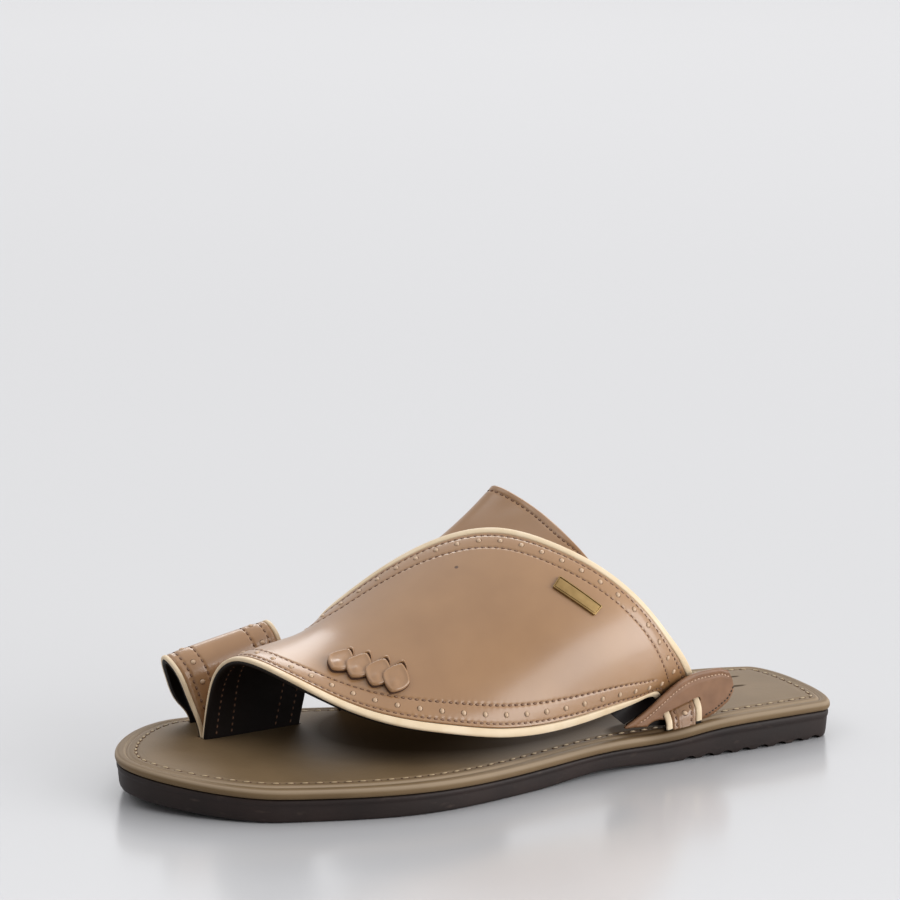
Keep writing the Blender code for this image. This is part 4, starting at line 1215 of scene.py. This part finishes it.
def keeper_face(along, share, lift=0.0):
    """Points and outward normals of the leaf's middle, from its lower edge to its upper edge."""
    upper, lower = keeper_edges(along).T
    middle = keeper_front + (along * keeper_length)[:, None] * keeper_axis
    ground = seam_height(middle[:, 0]) + KEEPER_STAND
    lower = np.maximum(lower, (ground - middle[:, 2]) / keeper_up[2])
    lower = lower + lift * np.clip(1.0 - ((along - LIFT_AT) / LIFT_REACH) ** 2, 0.0, 1.0)
    reach = lower[:, None] + (upper - lower)[:, None] * share
    points = middle[:, None, :] + reach[:, :, None] * keeper_up
    points[:, :, 1] += KEEPER_BULGE * np.sin(math.pi * along)[:, None]
    return points, np.tile([0.0, 1.0, 0.0], points.shape[:2] + (1,))


print("keeper is", round(keeper_length, 1), "mm long")

# %% Leaf of the keeper
KEEPER_WALL = 1.8
KEEPER_STEPS, KEEPER_COLUMNS = 70, 26
KEEPER_RIM, RIM_GROOVE, GROOVE_SPREAD, GROOVE_FADE = 2.5, 0.3, 0.5, 0.1
BEVEL, BEVEL_REACH = 0.5, 0.9
KeeperSlot = namedtuple("KeeperSlot", "first last half")
CALF_SLOT = KeeperSlot(0.33, 0.685, 1.2)
TAIL_SLOT = KeeperSlot(0.33, 0.69, 1.9)
SLOT_DROP, SLOT_DEPTHS, CAP_POINTS = 2.6, (-6.0, 6.0), 9


def keeper_slot(slot):
    """A cutter with round ends along the leaf's axis."""
    angle = np.linspace(-0.5 * math.pi, 0.5 * math.pi, CAP_POINTS)
    cap = np.stack([np.cos(angle), np.sin(angle)], 1) * slot.half
    right_end = cap + [slot.last * keeper_length - slot.half, 0.0]
    left_end = cap * [-1.0, 1.0] + [slot.first * keeper_length + slot.half, 0.0]
    flat = np.vstack([right_end, left_end[::-1]]) - [0.0, SLOT_DROP]
    placed = keeper_front + flat[:, :1] * keeper_axis + flat[:, 1:] * keeper_up
    return new_object("slot", sweep(np.array([placed + [0.0, depth, 0.0] for depth in SLOT_DEPTHS])))


along = np.sin(np.linspace(0.0, 0.5 * math.pi, KEEPER_STEPS))
share = np.linspace(0.0, 1.0, KEEPER_COLUMNS)[None, :].repeat(KEEPER_STEPS, 0)
points, normals = keeper_face(along, share, KEEPER_LIFT)
height = np.linalg.norm(points[:, -1] - points[:, 0], axis=1)[:, None]
from_edge = np.minimum(share, 1.0 - share) * height
bevel = BEVEL * np.clip(1.0 - from_edge / BEVEL_REACH, 0.0, 1.0) ** 2
groove = RIM_GROOVE * hump((1.0 - share) * height, KEEPER_RIM, GROOVE_SPREAD)
groove *= np.clip((1.0 - along) / GROOVE_FADE, 0.0, 1.0)[:, None]
outer = points + normals * (KEEPER_WALL / 2.0 - bevel - groove)[:, :, None]
inner = points - normals * (KEEPER_WALL / 2.0 - bevel)[:, :, None]
keeper = new_object("keeper_leaf", sweep(np.hstack([outer, inner[:, ::-1]])))
cut(keeper, keeper_slot(CALF_SLOT))
dress(keeper, shaded_keeper_calf, "keeper", sharp=45.0)

# %% Lining of the keeper
# The dark lining behind the leaf is partly its own lining and partly painted shade, seen through the slot
# and under the lifted edge.
LINING_ALONG, LINING_LOW, LINING_REACH = (0.03, 0.97), 0.04, 0.92
LINING_DEPTHS = (0.02, 0.45)

along = np.linspace(*LINING_ALONG, KEEPER_STEPS)
points, normals = keeper_face(along, LINING_LOW + LINING_REACH * share)
front, back = [points - normals * (KEEPER_WALL / 2.0 + depth) for depth in LINING_DEPTHS]
keeper_lining = new_object("keeper_lining", sweep(np.hstack([front, back[:, ::-1]])))
cut(keeper_lining, keeper_slot(TAIL_SLOT))
dress(keeper_lining, lining, "keeper", sharp=45.0)

# %% [markdown]
# ## Web of dark lining, painted shade
#
# In front of the keeper a dark sheet of lining hangs from the vamp's edge to the leaf and closes the
# corner between them: a dark sheet put there as painted shade for that deep corner. It is a sagging
# sheet between two lines: one under the vamp's front edge and one behind the leaf's upper edge.

# %% Web between vamp and keeper
WEB_ON_VAMP, WEB_EDGE = (11.86, 14.2), 0.01
WEB_ON_LEAF, LEAF_SHARE = (0.02, 0.45), 0.9
WEB_DEPTH, WEB_WALL, WEB_SAG = 2.2, 0.8, 5.0
WEB_POINTS, WEB_ROWS = 24, 9

share = np.linspace(0.0, 1.0, WEB_POINTS)
u = vamp.row(WEB_ON_VAMP[0] + (WEB_ON_VAMP[1] - WEB_ON_VAMP[0]) * share)
point, _, _, normal = vamp.frame(u, np.full(WEB_POINTS, WEB_EDGE))
from_vamp = point - WEB_DEPTH * vamp.thin(u)[:, None] * normal
along = WEB_ON_LEAF[0] + (WEB_ON_LEAF[1] - WEB_ON_LEAF[0]) * share
on_leaf = keeper_face(along, np.full((WEB_POINTS, 1), LEAF_SHARE))[0][:, 0]
on_leaf[:, 1] -= KEEPER_WALL
down = np.linspace(0.0, 1.0, WEB_ROWS)[None, :, None]
web = from_vamp[:, None, :] + (on_leaf - from_vamp)[:, None, :] * down
web -= WEB_SAG * np.sin(math.pi * down) * [0.0, 1.0, 0.0]
back = web - [0.0, WEB_WALL, 0.0]
corner_shade = new_object("vamp_lining_web", sweep(np.concatenate([web, back[:, ::-1]], 1)))
dress(corner_shade, lining, "upper", sharp=45.0)

# %% [markdown]
# ## Petals
#
# Four calf petals come out of little slits in the vamp and lie on it in a row, each over its neighbour.
# Each has a raised rim and a small curl where it comes out of its slit. The dark edge under it is
# partly the dye of its cut edge and partly a painted contact shadow. A petal is drawn flat, as rings of
# one outline from its underside to its crown, and is then bent onto the vamp's surface.

# %% Laying a flat pattern on the vamp
def on_vamp(along_place, across_place, turn_degrees, pattern):
    """A flat pattern bent onto the vamp. Its columns are length, width and height in millimetres."""
    local = pattern.reshape(-1, 3)
    u = np.array([along_place])
    v = np.array([across_place])
    _, along, across, normal = (a[0] for a in vamp.frame(u, v))
    first = along / np.linalg.norm(along)
    second = np.cross(normal, first)
    turn = math.radians(turn_degrees)
    one = math.cos(turn) * first + math.sin(turn) * second
    two = math.cos(turn) * second - math.sin(turn) * first
    shift = local[:, :1] * one + local[:, 1:2] * two
    moves = np.linalg.lstsq(np.stack([along, across], 1), shift.T, rcond=None)[0].T
    point, _, _, normals = vamp.frame(u + moves[:, 0], v + moves[:, 1])
    return (point + local[:, 2:3] * normals).reshape(pattern.shape)


def domed(outline, profile):
    """Rings of an outline drawn in by a share and set at a height, from the underside to the crown."""
    rings = [np.column_stack([outline * share, np.full(len(outline), height)]) for share, height in profile]
    return np.array(rings)


PETALS = table(
    "along across turn",
    (0.303, 0.300, 252.0), (0.331, 0.275, 252.0), (0.361, 0.244, 252.0), (0.388, 0.219, 252.0),
)
print("petals at", [row.along for row in PETALS], "along the vamp")

# %% Petals and their dark edges, of dye and painted shadow
PETAL_LENGTH, PETAL_WIDTH = 13.2, 10.2
PETAL_LIFT = 1.1
PETAL_CURL, CURL_PLACE, CURL_REACH = 0.7, 0.24, 1.8
PETAL_POINTS = 44
REACH_POWER, SIDE_POWER, BULGE_POWER = 1.05, 1.5, 0.75
PETAL_PROFILE = table(
    "share height",
    (0.90, 0.1), (0.98, 0.3), (1.0, 0.65), (0.97, 1.1), (0.92, 1.4), (0.86, 1.48), (0.79, 1.36),
    (0.68, 1.22), (0.50, 1.22), (0.30, 1.30), (0.10, 1.34),
)
# The dark edge under each petal: partly edge dye, partly painted contact shadow.
EDGE_PROFILE = table(
    "share height",
    (0.98, 0.0), (1.012, 0.05), (1.012, 0.25), (0.98, 0.4),
)

angle = np.linspace(0.0, 2.0 * math.pi, PETAL_POINTS, endpoint=False)
reach = 0.5 - 0.5 * np.cos(angle)
bulge = np.clip(1.0 - np.abs(2.0 * reach**REACH_POWER - 1.0) ** SIDE_POWER, 0.0, 1.0) ** BULGE_POWER
bulge *= np.sign(np.sin(angle))
petal_outline = np.stack([PETAL_LENGTH * (reach - 0.5), 0.5 * PETAL_WIDTH * bulge], 1)
for number, row in enumerate(PETALS, 1):
    rings = domed(petal_outline, PETAL_PROFILE)
    turn = math.radians(row.turn)
    toward_tail = rings[:, :, 0] * math.cos(turn) - rings[:, :, 1] * math.sin(turn)
    rings[:, :, 2] += PETAL_LIFT * (0.5 - toward_tail / PETAL_LENGTH)
    from_curl = np.hypot(rings[:, :, 0] - CURL_PLACE * PETAL_LENGTH, rings[:, :, 1])
    rings[:, :, 2] += PETAL_CURL * hump(from_curl, 0.0, CURL_REACH)
    petal = new_object(f"petal_{number}_calf", sweep(on_vamp(*row, rings)))
    dress(petal, taupe, f"petal_{number}", sharp=60.0)
    rings = domed(petal_outline, EDGE_PROFILE)
    under = new_object(f"petal_{number}_dyed_edge", sweep(on_vamp(*row, rings)))
    dress(under, needle, f"petal_{number}", sharp=60.0)

# %% Slit and raised lip behind each petal
# Lip and slit are two short tubes bent round the petal's root: a round one of calf, and a flat dark one
# that is the slit's painted shade.
LIP_REACH, LIP_BACK, LIP_BEND = 2.7, 7.4, 3.6
LIP_RADIUS = 0.6
LIP_POINTS, TUBE_POINTS = 15, 8
TUBE_SIT, TUBE_END = 0.55, 1.02
TUBES = table(
    "name finish shift flat",
    ("petal_lips", taupe, -0.75, 1.0),
    ("petal_slits", needle, 0.35, 0.25),
)

arc = np.linspace(-1.0, 1.0, LIP_POINTS)
round_angle = np.linspace(0.0, 2.0 * math.pi, TUBE_POINTS, endpoint=False)
thick = LIP_RADIUS * np.sqrt(np.clip(TUBE_END - arc**2, 0.0, 1.0))[:, None]
for name, finish, shift, flat in TUBES:
    tube = np.zeros((LIP_POINTS, TUBE_POINTS, 3))
    tube[:, :, 0] = (LIP_BEND * arc**2 - LIP_BACK)[:, None] + shift + thick * np.cos(round_angle)
    tube[:, :, 1] = LIP_REACH * arc[:, None]
    tube[:, :, 2] = flat * thick * (TUBE_SIT + np.sin(round_angle))
    tubes = together([sweep(on_vamp(*row, tube)) for row in PETALS])
    dress(new_object(name, tubes), finish, "upper", sharp=70.0)

# %% [markdown]
# ## Plate
#
# Further back on the vamp a small brass plate is riveted on. It is left blank, with a plain raised
# border. It is a rectangle with round corners, drawn in step by step for the border and its groove, and
# bent onto the vamp as the petals are.

# %% Blank brass plate
PLATE_PLACE = (0.679, 0.713, -17.0)
PLATE_LENGTH, PLATE_WIDTH = 19.0, 5.5
PLATE_CORNER, LEAST_CORNER = 0.5, 0.05
CORNER_POINTS, LONG_SIDE_POINTS = 5, 14
PLATE_PROFILE = table(
    "inset height",
    (0.0, 0.3), (0.0, 0.95), (0.12, 1.1), (0.4, 1.12), (0.48, 0.7), (0.68, 0.7), (0.76, 1.0),
    (0.95, 1.02),
)


def plate_ring(inset, height):
    """A rectangle with round corners, set in by a distance and split along its long sides."""
    half_length = PLATE_LENGTH / 2.0 - inset
    half_width = PLATE_WIDTH / 2.0 - inset
    corner = max(PLATE_CORNER - inset, LEAST_CORNER)
    points = []
    for quarter, (x, y) in enumerate(((1, 1), (-1, 1), (-1, -1), (1, -1))):
        centre = np.array([x * (half_length - corner), y * (half_width - corner)])
        turn = np.radians(90.0 * quarter + np.linspace(0.0, 90.0, CORNER_POINTS))
        points += list(centre + corner * np.stack([np.cos(turn), np.sin(turn)], 1))
        if x == y:
            for share in np.linspace(0.0, 1.0, LONG_SIDE_POINTS)[1:-1]:
                points.append([x * (half_length - corner) * (1.0 - 2.0 * share), y * half_width])
    return np.column_stack([points, np.full(len(points), height)])


rings = np.array([plate_ring(*row) for row in PLATE_PROFILE])
plate = new_object("plate_brass", sweep(on_vamp(*PLATE_PLACE, rings)))
dress(plate, brass, "plate", sharp=35.0)

# %% [markdown]
# ## Sewing
#
# Each seam is a row of short threads, and every thread is drawn down at both ends into a small slot.
# The node tree sets a bead for each thread and a wider flat dark bead for the slot, painted shade. The
# upper has two rows along every piped edge, which show on the lining too, and the strap has single
# rows. The keeper's rows are finer. The footbed's longer stitches lie in the dip inside its rolled edge.

# %% Seams on ring and vamp
Stitch = namedtuple("Stitch", "pitch thread hole shift")
BAND_STITCH = Stitch(STITCH_PITCH, (1.25, 0.68, 0.48), (1.6, 0.95, 0.2), (0.0, 0.0, 0.0))
LINING_STITCH = BAND_STITCH._replace(thread=(0.9, 0.5, 0.4))
THREAD_SINK, LINING_SINK = 0.16, 0.02
SEWN_RING = (1.15, RING_LAST - 1.15)
SEWN_VAMP = ((1.15, VAMP_LAST - 1.3), (1.15, 15.0))


def sew(name, paths, stitch, finish, node):
    """Threads along paths, each over a dark bead of painted shade for the slot that its two needle holes
    draw into the leather.
    """
    threads = set_along(f"{name}_threads", paths, bead, stitch.pitch, stitch.thread, finish)
    holes = set_along(f"{name}_needle_holes", paths, bead, stitch.pitch, stitch.hole, needle, stitch.shift)
    dress(threads, finish, node, sharp=180.0)
    dress(holes, needle, node, sharp=180.0)


outer_paths = []
inner_paths = []
for _, back in EDGES:
    for seam_row, ends in zip(SEAM_ROWS, SEWN_VAMP):
        outer_paths.append(edge_path(vamp, *ends, seam_row, back, -THREAD_SINK))
        outer_paths.append(edge_path(ring, *SEWN_RING, seam_row, back, -THREAD_SINK))
        for strip, inner_ends in ((vamp, SEWN_VAMP[1]), (ring, SEWN_RING)):
            point, normal = edge_path(strip, *inner_ends, seam_row, back, -WALL - LINING_SINK)
            inner_paths.append((point, -normal))
sew("upper", outer_paths, BAND_STITCH, thread, "upper")
sew("lining", inner_paths, LINING_STITCH, thread, "upper")

# %% Seams on instep strap and keeper
FINE_STITCH = Stitch(1.5, (1.15, 0.6, 0.45), (0.8, 0.75, 0.2), (0.0, 0.0, 0.0))
KEEPER_PATH = 120
KEEPER_SEAMS = table(
    "name first last inward from_top sink finish",
    ("rim", 0.14, 0.97, KEEPER_RIM, True, 0.2, pale_thread),
    ("end", 0.70, 0.985, 1.6, False, 0.0, dark_thread),
)

share = np.array([STRAP_SEAM / STRAP_WIDTH, 0.5, 1.0 - STRAP_SEAM / STRAP_WIDTH])
points, normals = strap_surface(share)
strap_paths = [(points[:, k] - THREAD_SINK * normals[:, k], normals[:, k]) for k in (0, 2)]
sew("strap", strap_paths, BAND_STITCH, thread, "upper")
for seam in KEEPER_SEAMS:
    along = np.linspace(seam.first, seam.last, KEEPER_PATH)
    points, _ = keeper_face(along, np.array([[0.0, 1.0]]).repeat(KEEPER_PATH, 0), KEEPER_LIFT)
    height = np.linalg.norm(points[:, 1] - points[:, 0], axis=1)
    share = np.clip(seam.inward / height, 0.0, 0.5)
    share = 1.0 - share if seam.from_top else share
    points, normals = keeper_face(along, share[:, None], KEEPER_LIFT)
    path = (points[:, 0] + normals[:, 0] * (KEEPER_WALL / 2.0 - seam.sink), normals[:, 0])
    sew(f"keeper_{seam.name}", [path], FINE_STITCH, seam.finish, "keeper")

# %% Seam round the footbed
# The footbed's dark slot bead sits to one side of each thread: a painted shadow.
BED_STITCH = Stitch(5.2, (2.7, 1.1, 0.9), (3.8, 1.5, 0.45), (0.8, -0.5, 0.1))
BED_SEAM_INSET, BED_SEAM_RISE = 7.6, 4.25
loop = on_seam(BED_SEAM_INSET, BED_SEAM_RISE)
loop = np.vstack([loop, loop[:1]])
upward = np.tile([0.0, 0.0, 1.0], (len(loop), 1))
sew("footbed", [(loop, upward)], BED_STITCH, olive_thread, "footbed")
for shape in small_shapes:
    bpy.data.objects.remove(shape)
print("the small shapes are done with")

# %% [markdown]
# ## Floor
#
# The shoe stands on a pale, slightly glossy floor that mirrors it softly. A plane large enough to reach
# the horizon needs no backdrop, and a lacquer with a high IOR gives the mirror without a metal's look.

# %% Pale glossy floor
# Pale lacquer: almost even in colour, with a blurred reflection of what stands on it.
tones = ((0.0, "#BFBFC1"), (1.0, "#C2C2C4"))
lacquer = dyed("pale_lacquered_floor", 900.0, 2.0, tones, Roughness=0.2, IOR=2.3)
FLOOR_REACH = 14.0
mesh = bpy.data.meshes.new("floor")
corners = [(x * FLOOR_REACH, y * FLOOR_REACH, 0.0) for x, y in ((-1, -1), (1, -1), (1, 1), (-1, 1))]
mesh.from_pydata(corners, [], [(0, 1, 2, 3)])
mesh.materials.append(lacquer)
floor = bpy.data.objects.new("floor", mesh)
bpy.context.scene.collection.objects.link(floor)
print("floor is", 2 * FLOOR_REACH, "m wide")

# %% [markdown]
# ## Light
#
# The studio is white and bright behind and beside the shoe, and dimmer on the photographer's side, so
# the leather facing the camera keeps its colour and the footbed is dark under the vamp. A wide softbox
# low on the heel side draws the broad sheen down the vamp. A softbox behind lifts strap and heel, and a
# small one at the toe draws the highlight on the vamp's shoulder.

# %% White studio
WALL_TONES = ((0.0, 0.88), (0.14, 0.83), (0.35, 0.86), (1.0, 1.08))
BLUE = 1.01
OPEN_SIDE, OPEN_LEVEL = 150.0, 0.2
OPEN_FROM, OPEN_TO = 0.25, 0.9


def direction(azimuth, elevation):
    """Unit vector from the shoe. Azimuth 0 is its inner side, along -Y, and 90 its toe, along +X."""
    a, e = math.radians(azimuth), math.radians(elevation)
    return Vector((math.sin(a) * math.cos(e), -math.cos(a) * math.cos(e), math.sin(e)))


world = bpy.data.worlds.new("white_studio")
bpy.context.scene.world = world
world.use_nodes = True
tree = world.node_tree
background = tree.nodes["Background"].inputs
place = add_node(tree, "ShaderNodeTexCoord").outputs["Generated"]
height = add_node(tree, "ShaderNodeSeparateXYZ", inputs={"Vector": place})
wall = add_node(tree, "ShaderNodeValToRGB", inputs={"Fac": height.outputs["Z"]})
wall = set_stops(wall, [(position, (level, level, BLUE * level, 1.0)) for position, level in WALL_TONES])
tree.links.new(wall, background["Color"])
toward = {0: place, 1: direction(OPEN_SIDE, 0.0)}
toward = add_node(tree, "ShaderNodeVectorMath", {"operation": "DOT_PRODUCT"}, toward).outputs["Value"]
dim = {"Value": toward, "From Min": OPEN_FROM, "From Max": OPEN_TO, "To Min": 1.0, "To Max": OPEN_LEVEL}
dim = add_node(tree, "ShaderNodeMapRange", {"interpolation_type": "SMOOTHSTEP"}, dim)
tree.links.new(dim.outputs["Result"], background["Strength"])
bpy.context.scene.view_settings.view_transform = "Standard"
print("walls from", WALL_TONES[0][1], "at the floor to", WALL_TONES[-1][1], "overhead")

# %% Softboxes
LIGHTS = table(
    "name azimuth elevation distance width height watts",
    ("heel_softbox", 225.0, 18.0, 5.0, 5.8, 2.9, 242.0),
    ("back_softbox", 331.0, 38.0, 5.0, 2.8, 1.8, 60.0),
    ("toe_softbox", 92.0, 48.0, 4.0, 1.6, 1.3, 12.0),
)
for row in LIGHTS:
    lamp = bpy.data.lights.new(row.name, "AREA")
    lamp.shape = "RECTANGLE"
    lamp.size = row.width
    lamp.size_y = row.height
    lamp.energy = row.watts
    made = bpy.data.objects.new(row.name, lamp)
    toward = direction(row.azimuth, row.elevation)
    made.location = toward * row.distance
    made.rotation_mode = "QUATERNION"
    made.rotation_quaternion = toward.to_track_quat("Z", "Y")
    bpy.context.scene.collection.objects.link(made)
print("lights:", [row.name for row in LIGHTS])

# %% [markdown]
# ## Camera
#
# The camera looks at the outer front of the shoe from a little above it, through a long lens, with a
# slight roll. Its place is written as angles about a target, which reads more easily than a matrix.

# %% Camera
VIEW_AZIMUTH, VIEW_ELEVATION, VIEW_ROLL = 153.3128, 11.7708, 0.5145
VIEW_TARGET = Vector((0.014149, 0.0047026, 0.120607))
VIEW_DISTANCE = 1.279174
lens = bpy.data.cameras.new("long_lens")
lens.lens = 139.1686
lens.sensor_width = 36.0
lens.sensor_fit = "HORIZONTAL"
camera = bpy.data.objects.new("camera", lens)
back = direction(VIEW_AZIMUTH, VIEW_ELEVATION)
right = Vector((0.0, 0.0, 1.0)).cross(back).normalized()
turned = Matrix((right, back.cross(right), back)).transposed().to_4x4()
camera.matrix_world = (
    Matrix.Translation(VIEW_TARGET + back * VIEW_DISTANCE)
    @ turned
    @ Matrix.Rotation(math.radians(VIEW_ROLL), 4, "Z")
)
bpy.context.scene.collection.objects.link(camera)
bpy.context.scene.camera = camera
print("camera stands", round(camera.location.z, 3), "m above the floor")
